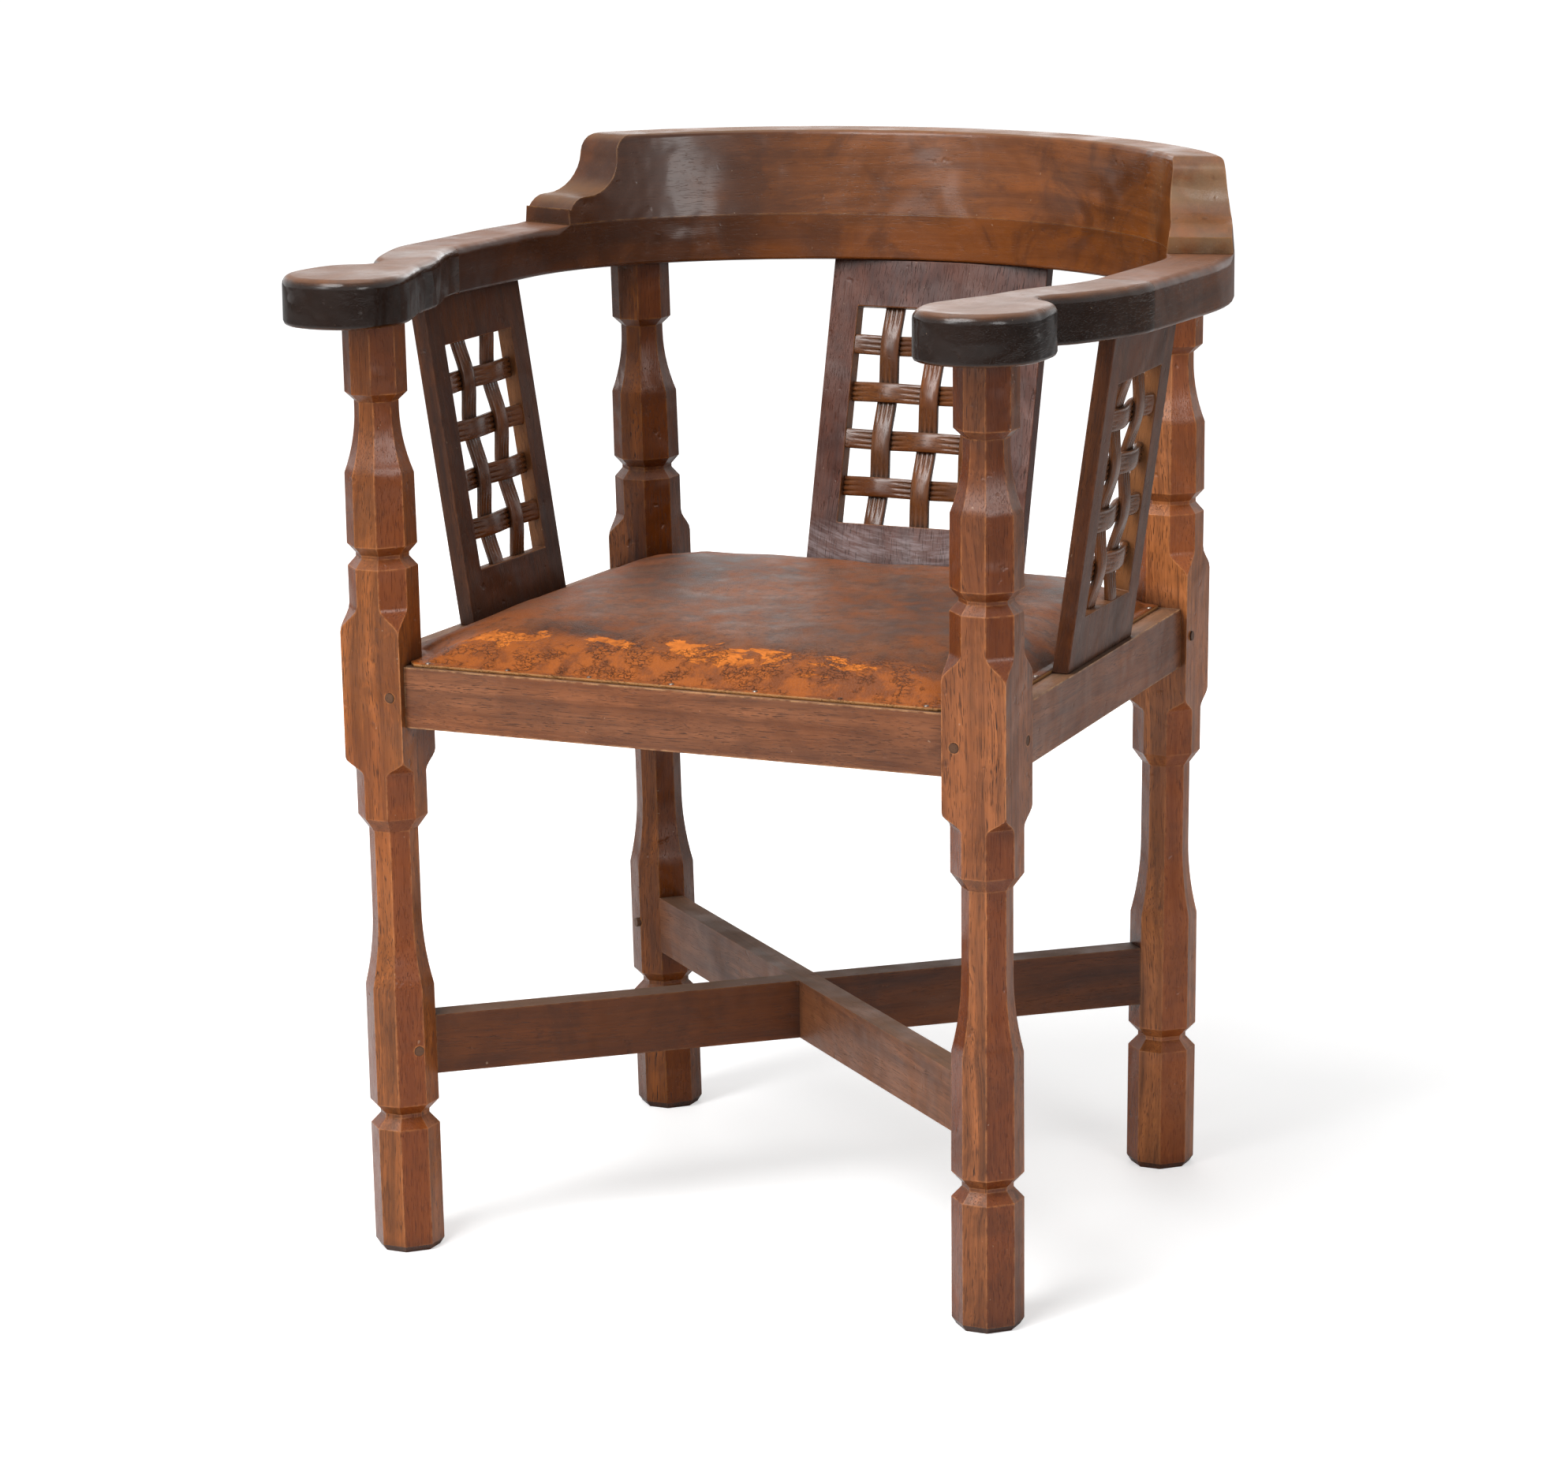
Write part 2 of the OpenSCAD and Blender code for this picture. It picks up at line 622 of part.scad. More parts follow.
module crest_end_cut() {
    line = crest_end_line();
    last = line[len(line) - 1];
    translate([corner_x, bow_corner_y, arm_t])
        rotate([0, 0, crest_start])
            translate([bow_corner_r - bow_w, 0, 0])
                rotate([90, 0, 90])
                    linear_extrude(height = 2 * bow_w)
                        polygon(concat(line, [[last[0], crest_h + 5], [-30, crest_h + 5], [-30, -1]]));
}

module crest_rail() {
    color("peru") chair() arm_frame() difference() {
        skin(flip([for (t = crest_path) placed(crest_section(), t)]));
        both_sides() crest_end_cut();
        for (k = dowel_places) dowel(k, fit);
    }
}

// Panels stand on rails 1, 2 and 3, on their outer part, and lean outwards to the bow
function panel_w(i) = i == 2 ? back_panel_w : side_panel_w;
function panel_lean(i) = i == 2 ? back_lean : side_lean;
function panel_shift(i) = i == 2 ? -back_panel_shift : (i == 1 ? -side_panel_shift : side_panel_shift);
panel_face = rail_out - panel_inset;

// Puts its children on the outer face of panel i: X along the rail, Z up the slope, Y inwards
module on_panel(i) {
    between(i, (i + 1) % 4)
        translate([panel_shift(i), -panel_face, rail_top])
            rotate([panel_lean(i), 0, 0]) children();
}

module panel_tongue_low(i, grow) {
    between(i, (i + 1) % 4)
        translate([panel_shift(i), -panel_face + panel_t / 2, rail_top])
            cube([panel_w(i) - 2 * panel_t, tongue_t, 2 * tongue_h] + 2 * grow * [1, 1, 1], center = true);
}

// The upper tongue follows the panel's slope into the underside of the bow
module panel_tongue_high(i, grow) {
    difference() {
        on_panel(i)
            translate([0, panel_t / 2, panel_slope_h(i)])
                cube([panel_w(i) - 4 * panel_t, tongue_t, 10 * tongue_h] + 2 * grow * [1, 1, 1],
                    center = true);
        arm_frame() translate([-big / 2, -big / 2, tongue_h + grow]) cube([big, big, big]);
    }
}

function panel_slope_h(i) = (arm_z - rail_top - (i == 2 ? (leg_depth / 2 + 60) * sin(arm_slope) : 0))
    / cos(panel_lean(i));

// A strip of the weave is a wavy band that crosses another one at each pitch, first on the given side
function wave(s, side) = side * weave * cos(180 * (s - (pitch - strip_w / 2)) / pitch);
module strip(length, side) {
    steps = ceil(length / pitch * 6);
    line = [for (k = [0 : steps]) let (s = -2 + (length + 4) * k / steps) [s, wave(s, side)]];
    translate([0, panel_t / 2, 0])
        linear_extrude(height = strip_w, center = true)
            polygon(concat(
                [for (p = line) p - [0, strip_t / 2]],
                [for (p = flip(line)) p + [0, strip_t / 2]]));
}

module panel(i) {
    columns = i == 2 ? back_columns : side_columns;
    opening_w = columns * pitch - strip_w;
    opening_h = rows * pitch - strip_w;
    foot = lattice_z / cos(panel_lean(i));
    turn = i == 3 ? -1 : 1;
    color("rosybrown") chair() difference() {
        union() {
            difference() {
                on_panel(i)
                    translate([-panel_w(i) / 2, 0, -2 * panel_t])
                        cube([panel_w(i), panel_t, panel_slope_h(i) + 6 * panel_t]);
                translate([-big / 2, -big / 2, rail_top - big]) cube([big, big, big]);
                above_arm();
                on_panel(i) translate([-opening_w / 2, -1, foot]) cube([opening_w, panel_t + 2, opening_h]);
            }
            on_panel(i) {
                for (c = [1 : columns - 1])
                    translate([-opening_w / 2 + c * pitch - strip_w / 2, 0, foot])
                        rotate([0, -90, 0]) strip(opening_h, c % 2 == 0 ? turn : -turn);
                for (r = [1 : rows - 1])
                    translate([-opening_w / 2, 0, foot + r * pitch - strip_w / 2])
                        strip(opening_w, r % 2 == 0 ? -turn : turn);
            }
            intersection() {
                panel_tongue_low(i, 0);
                translate([-big / 2, -big / 2, rail_top - big + 1]) cube([big, big, big]);
            }
            panel_tongue_high(i, 0);
        }
    }
}

// Seat: half the outline of the leather, from the middle of the front to the middle of the back
seat_gap = 0.5;
// How far the leather is cut away at its front corners and at its other corners
front_cut = 6;
corner_cut = 4;
side_edge = panel_face - panel_t - seat_gap;
function side_x(y) = let (a = legs[1], b = legs[2])
    a[0] + (b[0] - a[0]) * (y - a[1]) / (b[1] - a[1]) + side_edge;
seat_half = let (
    a = legs[1], b = legs[2], w = leg_w / 2 + seat_gap, c = leg_w * facet,
    front = a[1] - rail_out + leather_inset, back = b[1] + side_edge)
    [[0, front], [a[0] - w - front_cut, front], [a[0] - w, front + front_cut],
        [a[0] - w, a[1] + w - c], [a[0] - w + c, a[1] + w],
        [side_x(a[1] + w) - corner_cut, a[1] + w], [side_x(a[1] + w + corner_cut), a[1] + w + corner_cut],
        [side_x(b[1] - w - corner_cut), b[1] - w - corner_cut], [side_x(b[1] - w) - corner_cut, b[1] - w],
        [b[0] - w + c, b[1] - w], [b[0] - w, b[1] - w + c],
        [b[0] - w, back - corner_cut], [b[0] - w - corner_cut, back], [0, back]];

// A path with its long stretches cut into pieces of at most the given length
function divided(p, most) = [
    for (i = [0 : len(p) - 2]) let (n = ceil(norm(p[i + 1] - p[i]) / most))
        for (k = [0 : n - 1]) p[i] + (p[i + 1] - p[i]) * k / n,
    p[len(p) - 1]];

seat_right = divided(seat_half, 62);
seat_loop = concat(seat_right,
    [for (k = [len(seat_right) - 2 : -1 : 1]) [-seat_right[k][0], seat_right[k][1]]]);
seat_back = leg_depth / 2 + side_edge;

// Away from its edge the seat's outline grows into a rounded rectangle
function rounded(p) = let (a = atan2(p[1], p[0]), w = side_x(0), d = seat_back)
    [cos(a), sin(a)] * pow(pow(abs(cos(a)) / w, 5) + pow(abs(sin(a)) / d, 5), -1 / 5);

// The seat rises from its edge as a roll and then as a slow crown; f is 0 at the edge and 1 in the middle
flange = 0.03;
function rise(f) = f <= flange ? 0 : crown * (1 - pow((1 - f) / (1 - flange), roll)) + 3 * (f - flange);
function seat_ring(f, z) = let (t = min(1, f / 0.35))
    [for (p = seat_loop) let (q = (p * (1 - t) + rounded(p) * t) * (1 - f)) [q[0], q[1], z]];
seat_steps = [flange, 0.045, 0.075, 0.12, 0.19, 0.31, 0.52, 0.8];

// The leather is one shell: down its inner side, round its edge and up its outer side
module seat_leather() {
    color("saddlebrown") chair() difference() {
        skin([for (f = flip(seat_steps)) seat_ring(f, rail_top + rise(f)),
            seat_ring(0, rail_top), seat_ring(0, rail_top + leather_t),
            for (f = seat_steps) seat_ring(f, rail_top + leather_t + rise(f))]);
        for (row = nail_rows) for (p = row) translate([p[0], p[1], rail_top]) nail(fit);
    }
}

// The stuffing fills the leather from just over the straps
stuffing_gap = 0.3;
module seat_stuffing() {
    steps = [for (f = seat_steps) if (f > flange) f + 0.004];
    color("khaki") chair()
        skin([seat_ring(steps[0], rail_top + stuffing_gap),
            for (f = steps) seat_ring(f, rail_top + rise(f - 0.004) - stuffing_gap)]);
}

// Straps cross in the seat frame, woven over and under, and turn down the rails' inner faces
rail_in = rail_t - rail_out;
strap_gap = 0.2;
function inner_x(y) = side_x(y) - side_edge - rail_in - strap_gap;
inner_y = leg_depth / 2 - rail_in - strap_gap;
long_step = 2 * inner_x(0) / straps;
cross_step = 2 * inner_y / straps;
// Height of a strap's wave, which keeps the straps apart over their whole crossing
strap_bend = (strap_t + strap_gap) / (cos(90 * strap_w / long_step) + cos(90 * strap_w / cross_step));
strap_z = rail_top - strap_bend - strap_t / 2;

// Each strap is its start in plan, its length, its direction and the side of its first crossing
cross_straps = [for (k = [1 : straps])
    let (y = -inner_y + (k - 0.5) * cross_step,
        reach = min(inner_x(y - strap_w / 2), inner_x(y + strap_w / 2)))
        [[-reach, y], 2 * reach, 0, k % 2 == 0 ? 1 : -1]];
long_straps = [for (k = [1 : straps])
    [[-inner_x(0) + (k - 0.5) * long_step, -inner_y], 2 * inner_y, 90, k % 2 == 0 ? -1 : 1]];

module on_strap(s) {
    translate([s[0][0], s[0][1], strap_z]) rotate([0, 0, s[2]]) children();
}

// Middle line of a strap, with a bend at each crossing
function strap_line(length, side) = let (n = 6 * straps)
    [for (k = [0 : n]) [length * k / n, side * strap_bend * sin(180 * k / 6)]];

module strap(length, side) {
    line = strap_line(length, side);
    inside = [for (k = [1 : len(line) - 2]) line[k]];
    difference() {
        rotate([90, 0, 0]) linear_extrude(height = strap_w, center = true)
            polygon(concat(
                [[0, -strap_drop], [strap_t, -strap_drop], [strap_t, -strap_t / 2]],
                [for (p = inside) p - [0, strap_t / 2]],
                [[length - strap_t, -strap_t / 2], [length - strap_t, -strap_drop], [length, -strap_drop]],
                [for (p = flip(line)) p + [0, strap_t / 2]]));
        strap_tacks(length, fit);
    }
}

// Two tacks hold each end of a strap to the rail
module strap_tacks(length, grow) {
    for (end = [0, 1]) for (side = [-1, 1])
        translate([end * length + (1 - 2 * end) * strap_t, side * strap_w / 4, -0.6 * strap_drop])
            rotate([0, end == 0 ? -90 : 90, 0]) {
                translate([0, 0, grow > 0 ? -1 : 0])
                    cylinder(d = (nail_shank + 2 * grow) * sqrt(2),
                        h = strap_t + tack_depth + (grow > 0 ? 1 + end_gap : 0), $fn = 4);
                if (grow == 0) translate([0, 0, -0.8]) cylinder(d = tack_d, h = 0.8, $fn = 16);
            }
}

module webbing(straps_one_way) {
    color("tan") chair() for (s = straps_one_way) on_strap(s) strap(s[1], s[3]);
}

module webbing_tacks() {
    color("dimgray") chair() for (s = concat(cross_straps, long_straps)) on_strap(s) strap_tacks(s[1], 0);
}

// Nails stand along the front, side and back edges of the leather, clear of the legs
function nail_row(a, b) = let (n = floor(norm(b - a) / nail_pitch)) [for (k = [0 : n]) a + (b - a) * k / n];
edge_in = 3;
front_end = leg_w / 2 + 16;
side_end = leg_depth / 2 - 40;
right_nails = nail_row([side_x(-side_end) - edge_in, -side_end], [side_x(side_end) - edge_in, side_end]);
front_line = seat_half[0][1] + edge_in;
nail_rows = [
    nail_row([legs[0][0] + front_end, front_line], [legs[1][0] - front_end, front_line]),
    right_nails,
    nail_row([legs[3][0] + front_end, seat_back - edge_in], [legs[2][0] - front_end, seat_back - edge_in]),
    [for (p = right_nails) [-p[0], p[1]]]];

// Nail through the leather into a rail, with z = 0 on the rail
module nail(grow) {
    translate([0, 0, -nail_depth - (grow > 0 ? end_gap : 0)])
        cylinder(d = (nail_shank + 2 * grow) * sqrt(2),
            h = nail_depth + leather_t + (grow > 0 ? 2 : 0.2), $fn = 4);
    if (grow == 0)
        translate([0, 0, leather_t])
            rotate_extrude($fn = 16) polygon([[0, 0], [nail_d / 2, 0], [nail_d * 0.4, 0.6], [0, 0.9]]);
}

module leather_nails() {
    color("dimgray") chair() for (row = nail_rows) for (p = row) translate([p[0], p[1], rail_top]) nail(0);
}

module rail_pegs() {
    color("black") chair() for (i = [0 : 3]) for (side = [-1, 1]) rail_peg(i, side, 0);
}

module stretcher_pegs() {
    color("black") chair() for (i = [0, 1]) for (side = [-1, 1]) stretcher_peg(i, side, 0);
}

module crossing_nails() {
    color("dimgray") chair() for (k = [0, 1]) crossing_nail(k, 0);
}

module crest_dowels() {
    color("tan") chair() arm_frame() for (k = dowel_places) dowel(k, 0);
}

module splice_tongues() {
    color("tan") chair() arm_frame() both_sides() splice_tongue(0);
}

leg(0);  // front_left_leg
leg(1);  // front_right_leg
leg(2);  // rear_right_leg
leg(3);  // rear_left_leg
seat_rail(0);  // front_seat_rail
seat_rail(1);  // right_seat_rail
seat_rail(2);  // rear_seat_rail
seat_rail(3);  // left_seat_rail
stretcher(0);  // lower_stretcher
stretcher(1);  // upper_stretcher
back_bow();
arm(1);  // right_arm
arm(0);  // left_arm
crest_rail();
panel(1);  // right_panel
panel(3);  // left_panel
panel(2);  // back_panel
seat_leather();
seat_stuffing();
webbing(cross_straps);  // cross_webbing
webbing(long_straps);  // long_webbing
webbing_tacks();
rail_pegs();
stretcher_pegs();
crossing_nails();
crest_dowels();
splice_tongues();
leather_nails();
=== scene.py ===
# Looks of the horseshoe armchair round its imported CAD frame: oak, leather, webbing, studio floor and light
import math
import bmesh
import bpy
import numpy as np
from mathutils import Matrix, Vector


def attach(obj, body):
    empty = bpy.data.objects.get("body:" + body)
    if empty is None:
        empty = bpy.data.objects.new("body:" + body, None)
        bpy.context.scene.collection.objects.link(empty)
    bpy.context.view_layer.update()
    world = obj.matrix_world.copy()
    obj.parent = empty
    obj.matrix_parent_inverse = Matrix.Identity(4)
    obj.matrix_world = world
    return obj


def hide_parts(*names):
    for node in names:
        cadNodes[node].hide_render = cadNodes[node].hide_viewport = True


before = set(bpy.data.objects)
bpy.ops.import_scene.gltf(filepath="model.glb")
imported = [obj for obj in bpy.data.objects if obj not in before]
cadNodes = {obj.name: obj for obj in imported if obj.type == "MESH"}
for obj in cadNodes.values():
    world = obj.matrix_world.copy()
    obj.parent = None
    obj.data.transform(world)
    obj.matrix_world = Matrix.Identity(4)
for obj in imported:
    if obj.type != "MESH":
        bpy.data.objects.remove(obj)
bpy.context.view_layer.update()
print("frame loaded:", len(cadNodes), "nodes")

# Sizes of the frame that the surfaces below follow, in metres and degrees
chair = {
    "planX": -0.007, "planY": -0.01715, "bowShift": 0.007, "bowYaw": 1.4, "armZ": 0.680, "armSlope": 1.1,
    "cornerX": 0.072, "cornerY": 0.05, "cornerR": 0.202, "bowTurn": 40,
    "frontSpread": 0.465, "rearSpread": 0.431, "legDepth": 0.390, "legW": 0.0474, "facet": 0.31,
    "railTop": 0.438, "railOut": 0.0182,
}
halfFront, halfRear, halfDepth = chair["frontSpread"] / 2, chair["rearSpread"] / 2, chair["legDepth"] / 2
legPlaces = np.array([[-halfFront, -halfDepth], [halfFront, -halfDepth], [halfRear, halfDepth],
                      [-halfRear, halfDepth]])


def fromHex(code):
    # sRGB hex code to the linear colour that the shaders take
    parts = [int(code[i:i + 2], 16) / 255 for i in (0, 2, 4)]
    return [p / 12.92 if p <= 0.04045 else ((p + 0.055) / 1.055) ** 2.4 for p in parts] + [1.0]


# Short forms for node trees
def fillInputs(tree, node, inputs):
    for key, value in inputs.items():
        if isinstance(value, bpy.types.NodeSocket):
            tree.links.new(value, node.inputs[key])
        else:
            node.inputs[key].default_value = value


def addNode(tree, kind, inputs=None, **settings):
    node = tree.nodes.new(kind)
    for name, value in settings.items():
        setattr(node, name, value)
    fillInputs(tree, node, inputs or {})
    return node


def calc(tree, operation, a, b=0.0, c=0.0):
    return addNode(tree, "ShaderNodeMath", {0: a, 1: b, 2: c}, operation=operation).outputs[0]


def product(tree, first, *others):
    for other in others:
        first = calc(tree, "MULTIPLY", first, other)
    return first


def weighted(tree, total, *parts):
    # a start value plus each part's value times its weight
    for value, weight in parts:
        total = calc(tree, "MULTIPLY_ADD", value, weight, total)
    return total


def ramp(tree, value, low, high, outLow=0.0, outHigh=1.0):
    # smooth step of a value from low..high to outLow..outHigh
    return addNode(tree, "ShaderNodeMapRange", {0: value, 1: low, 2: high, 3: outLow, 4: outHigh},
                   interpolation_type="SMOOTHSTEP").outputs[0]


def blendColour(tree, factor, a, b, kind="MIX"):
    mix = addNode(tree, "ShaderNodeMix", {0: factor, 6: a, 7: b}, data_type="RGBA", blend_type=kind)
    return mix.outputs[2]


def tint(tree, colour, mask, share, code):
    # takes a colour towards a hex code, by a share of the mask
    return blendColour(tree, product(tree, mask, share), colour, fromHex(code))


def noise(tree, place, scale, detail=3.0, rough=0.5, distortion=0.0):
    return addNode(tree, "ShaderNodeTexNoise", {"Vector": place, "Scale": scale, "Detail": detail,
                                                "Roughness": rough, "Distortion": distortion}).outputs["Fac"]


def stretched(tree, place, scale, offset=(0, 0, 0)):
    inputs = {"Vector": place, "Scale": scale, "Location": offset}
    return addNode(tree, "ShaderNodeMapping", inputs).outputs[0]


def crackle(tree, place, scale):
    return addNode(tree, "ShaderNodeTexVoronoi", {"Vector": place, "Scale": scale},
                   feature="DISTANCE_TO_EDGE").outputs[0]


def splitVector(tree, vector):
    return addNode(tree, "ShaderNodeSeparateXYZ", {0: vector}).outputs[:3]


def newGroup(name, inputs, outputs):
    group = bpy.data.node_groups.new(name, "ShaderNodeTree")
    for label, kind in inputs:
        group.interface.new_socket(label, in_out="INPUT", socket_type="NodeSocket" + kind)
    for label, kind in outputs:
        group.interface.new_socket(label, in_out="OUTPUT", socket_type="NodeSocket" + kind)
    start, end = group.nodes.new("NodeGroupInput"), group.nodes.new("NodeGroupOutput")
    return group, start.outputs, end.inputs


def useGroup(tree, group, inputs):
    node = addNode(tree, "ShaderNodeGroup", node_tree=group)
    fillInputs(tree, node, inputs)
    return node.outputs


def newMaterial(name, **sockets):
    material = bpy.data.materials.new(name)
    material.use_nodes = True
    tree = material.node_tree
    tree.nodes.clear()
    shader = tree.nodes.new("ShaderNodeBsdfPrincipled")
    out = tree.nodes.new("ShaderNodeOutputMaterial")
    tree.links.new(shader.outputs[0], out.inputs[0])
    for key, value in sockets.items():
        shader.inputs[key.replace("_", " ")].default_value = value
    return material, tree, shader


# Scales of oak along and across its grain, how far the grain bends sideways, and between which values of its
# noise each mark begins and is full
grainLook = {"drift": (3, 9, 9), "bendY": 0.05, "bendZ": 0.03, "bands": (2.2, 120, 120),
             "fibres": (14, 900, 900), "patches": (7, 16, 16), "pores": (85, 1700, 1700),
             "threads": (16, 620, 620), "flecks": (42, 150, 150), "pore": (0.012, 0.005, 0.003, 1),
             "poreAt": (0.60, 0.70), "poreBands": (0.38, 0.62), "threadAt": (0.56, 0.68),
             "fleckAt": (0.60, 0.68), "toneFrom": 0.34, "toneTo": 0.66, "fibreRise": 0.25, "poreSink": 0.9}


# Oak: X of Place runs along the grain. Broad bands, fine fibres, dark threads, short dark pores and pale
# ray flecks, each a noise stretched along the grain.
def makeOakGrain():
    look = grainLook
    g, i, o = newGroup("oakGrain",
                       [("Place", "Vector"), ("Dark", "Color"), ("Light", "Color"), ("Pores", "Float"),
                        ("Flecks", "Float"), ("Contrast", "Float")],
                       [("Color", "Color"), ("Height", "Float")])
    place = i["Place"]
    drift = noise(g, stretched(g, place, look["drift"]), 1.0, 3)
    bend = addNode(g, "ShaderNodeCombineXYZ", {1: product(g, drift, look["bendY"]),
                                               2: product(g, drift, look["bendZ"])}).outputs[0]
    wave = addNode(g, "ShaderNodeVectorMath", {0: place, 1: bend}, operation="ADD").outputs[0]
    bands = noise(g, stretched(g, wave, look["bands"]), 1.0, 4, 0.55, 0.4)
    fibres = noise(g, stretched(g, wave, look["fibres"]), 1.0, 2, 0.6)
    patches = noise(g, stretched(g, place, look["patches"]), 1.0, 4, 0.6)
    poreNoise = noise(g, stretched(g, wave, look["pores"]), 1.0, 1.5, 0.5)
    poreZone = ramp(g, bands, *look["poreBands"], 0.35, 1.0)
    pores = product(g, ramp(g, poreNoise, *look["poreAt"]), poreZone, i["Pores"])
    threadNoise = noise(g, stretched(g, wave, look["threads"], (2, 5, 9)), 1.0, 2, 0.55)
    threads = product(g, ramp(g, threadNoise, *look["threadAt"]), i["Pores"], 0.5)
    fleckNoise = noise(g, stretched(g, wave, look["flecks"], (7, 3, 1)), 1.0, 2, 0.5, 1.2)
    flecks = product(g, ramp(g, fleckNoise, *look["fleckAt"]), i["Flecks"], 0.5)
    tone = weighted(g, 0.0, (bands, 0.5), (patches, 0.35), (fibres, 0.15))
    toneMask = addNode(g, "ShaderNodeMapRange", {0: tone, 1: look["toneFrom"], 2: look["toneTo"],
                                                 3: weighted(g, 0.5, (i["Contrast"], -0.5)),
                                                 4: weighted(g, 0.5, (i["Contrast"], 0.5))}).outputs[0]
    colour = blendColour(g, toneMask, i["Dark"], i["Light"])
    colour = blendColour(g, flecks, colour, i["Light"], "ADD")
    colour = blendColour(g, threads, colour, i["Dark"])
    g.links.new(blendColour(g, pores, colour, look["pore"]), o["Color"])
    g.links.new(weighted(g, 0.0, (fibres, look["fibreRise"]), (pores, -look["poreSink"])), o["Height"])
    return g


# Edge: 1 on arrises and 0 on flats, from how far a rounded normal turns away from the true one.
# CreviceShade: 1 where surfaces near by close a point in; there the colour is darkened as painted shade.
def makeEdgeWearLightAndShade(reach=0.03, samples=4):
    g, i, o = newGroup("edgeWearLightAndShade", [("Radius", "Float"), ("Place", "Vector")],
                       [("Edge", "Float"), ("CreviceShade", "Float")])
    soft = addNode(g, "ShaderNodeBevel", {"Radius": i["Radius"]}, samples=samples).outputs[0]
    true = addNode(g, "ShaderNodeNewGeometry").outputs["Normal"]
    turn = addNode(g, "ShaderNodeVectorMath", {0: soft, 1: true}, operation="DOT_PRODUCT").outputs["Value"]
    ragged = noise(g, i["Place"], 140, 3)
    near = addNode(g, "ShaderNodeAmbientOcclusion", {"Distance": reach}, samples=samples).outputs["AO"]
    g.links.new(product(g, ramp(g, turn, 0.995, 0.90), ramp(g, ragged, 0.3, 0.62)), o["Edge"])
    g.links.new(product(g, ramp(g, near, 0.80, 0.42), ramp(g, ragged, 0.2, 0.5, 0.6, 1.0)), o["CreviceShade"])
    return g


# Masks: what faces up (it takes dust and a painted sheen), what faces sideways, the corner facets, and
# scattered dents and pale specks
def makeHandling():
    g, i, o = newGroup("handling", [("Place", "Vector")],
                       [("Up", "Float"), ("Side", "Float"), ("Facet", "Float"), ("Dents", "Float"),
                        ("Specks", "Float"), ("Cloud", "Float")])
    nx, ny, up = splitVector(g, addNode(g, "ShaderNodeNewGeometry").outputs["Normal"])
    lesser = calc(g, "MINIMUM", calc(g, "ABSOLUTE", nx), calc(g, "ABSOLUTE", ny))
    cloud = noise(g, i["Place"], 22, 5, 0.6)
    g.links.new(product(g, ramp(g, up, 0.55, 0.95), ramp(g, cloud, 0.25, 0.6, 0.45, 1.0)), o["Up"])
    g.links.new(ramp(g, calc(g, "ABSOLUTE", up), 0.92, 0.25), o["Side"])
    g.links.new(ramp(g, lesser, 0.30, 0.50), o["Facet"])
    g.links.new(ramp(g, noise(g, i["Place"], 90, 2, 0.5), 0.66, 0.8), o["Dents"])
    g.links.new(ramp(g, noise(g, i["Place"], 260, 2, 0.5), 0.74, 0.8), o["Specks"])
    g.links.new(cloud, o["Cloud"])
    return g


oakGrain, edgeWearLightAndShade, handling = makeOakGrain(), makeEdgeWearLightAndShade(), makeHandling()
print("shared effects made")

# Oak finishes. facet: share of the warm colour on corner facets. side: how far faces that look sideways
# darken. cloud: strength of soft dark patches. sheen: coat on faces that look sideways. top: colour of dust
# and painted sheen on faces that look up. edge: colour of wear on arrises, pale where it is a painted
# highlight.
# The rest are colours, shares, roughness and the depth of the relief in metres.
plainOak = {"facet": 0.0, "side": 0.0, "cloud": 0.3, "flecks": 0.1, "contrast": 1.0, "edgeAmount": 0.4,
            "dustAndSheenAmount": 0.3, "sheen": 0.0, "relief": 0.0002}
legOak = dict(plainOak, dark="3e2010", light="ac6638", warm="682a04", warmth=0.4, facet=0.95, cloud=0.25,
              pores=1.0, flecks=0.25, edge="c67f48", edgeAmount=0.8, top="85603f", dustAndSheenAmount=0.35, rough=0.34,
              sheen=0.15, relief=0.0005)
stretcherOak = dict(plainOak, dark="30160a", light="603010", warm="6e390e", warmth=0.4, pores=0.65,
                    edge="8a5c38", edgeAmount=0.5, top="6a5440", dustAndSheenAmount=0.85, rough=0.5, relief=0.0003)
panelOak = dict(plainOak, dark="2c1511", light="5c3224", warm="66300f", warmth=0.35, cloud=0.35, pores=0.9,
                flecks=0.35, edge="8a5a40", top="5a3c30", rough=0.42, sheen=0.05, relief=0.0005)
legFinishes = {
    "legOak": legOak,
    "frontLeftOak": dict(legOak, dark="4c280f", light="b86a32", warm="723004", contrast=0.75),
    # rearLeftShadedOak is the leg oak painted darker as painted shade of the left arm and panel;
    # rearRightLitOak is painted lighter as painted light
    "rearLeftShadedOak": dict(legOak, dark="34180a", light="8c4c18", warm="642d04", sheen=0.0, edge="98602a"),
    "rearRightLitOak": dict(legOak, dark="56301a", light="cc7c44", warm="8a4010"),
}
panelFinishes = {
    "panelOak": panelOak,
    "sidePanelOak": dict(panelOak, dark="2c1408", light="603414", warm="662e08"),
}
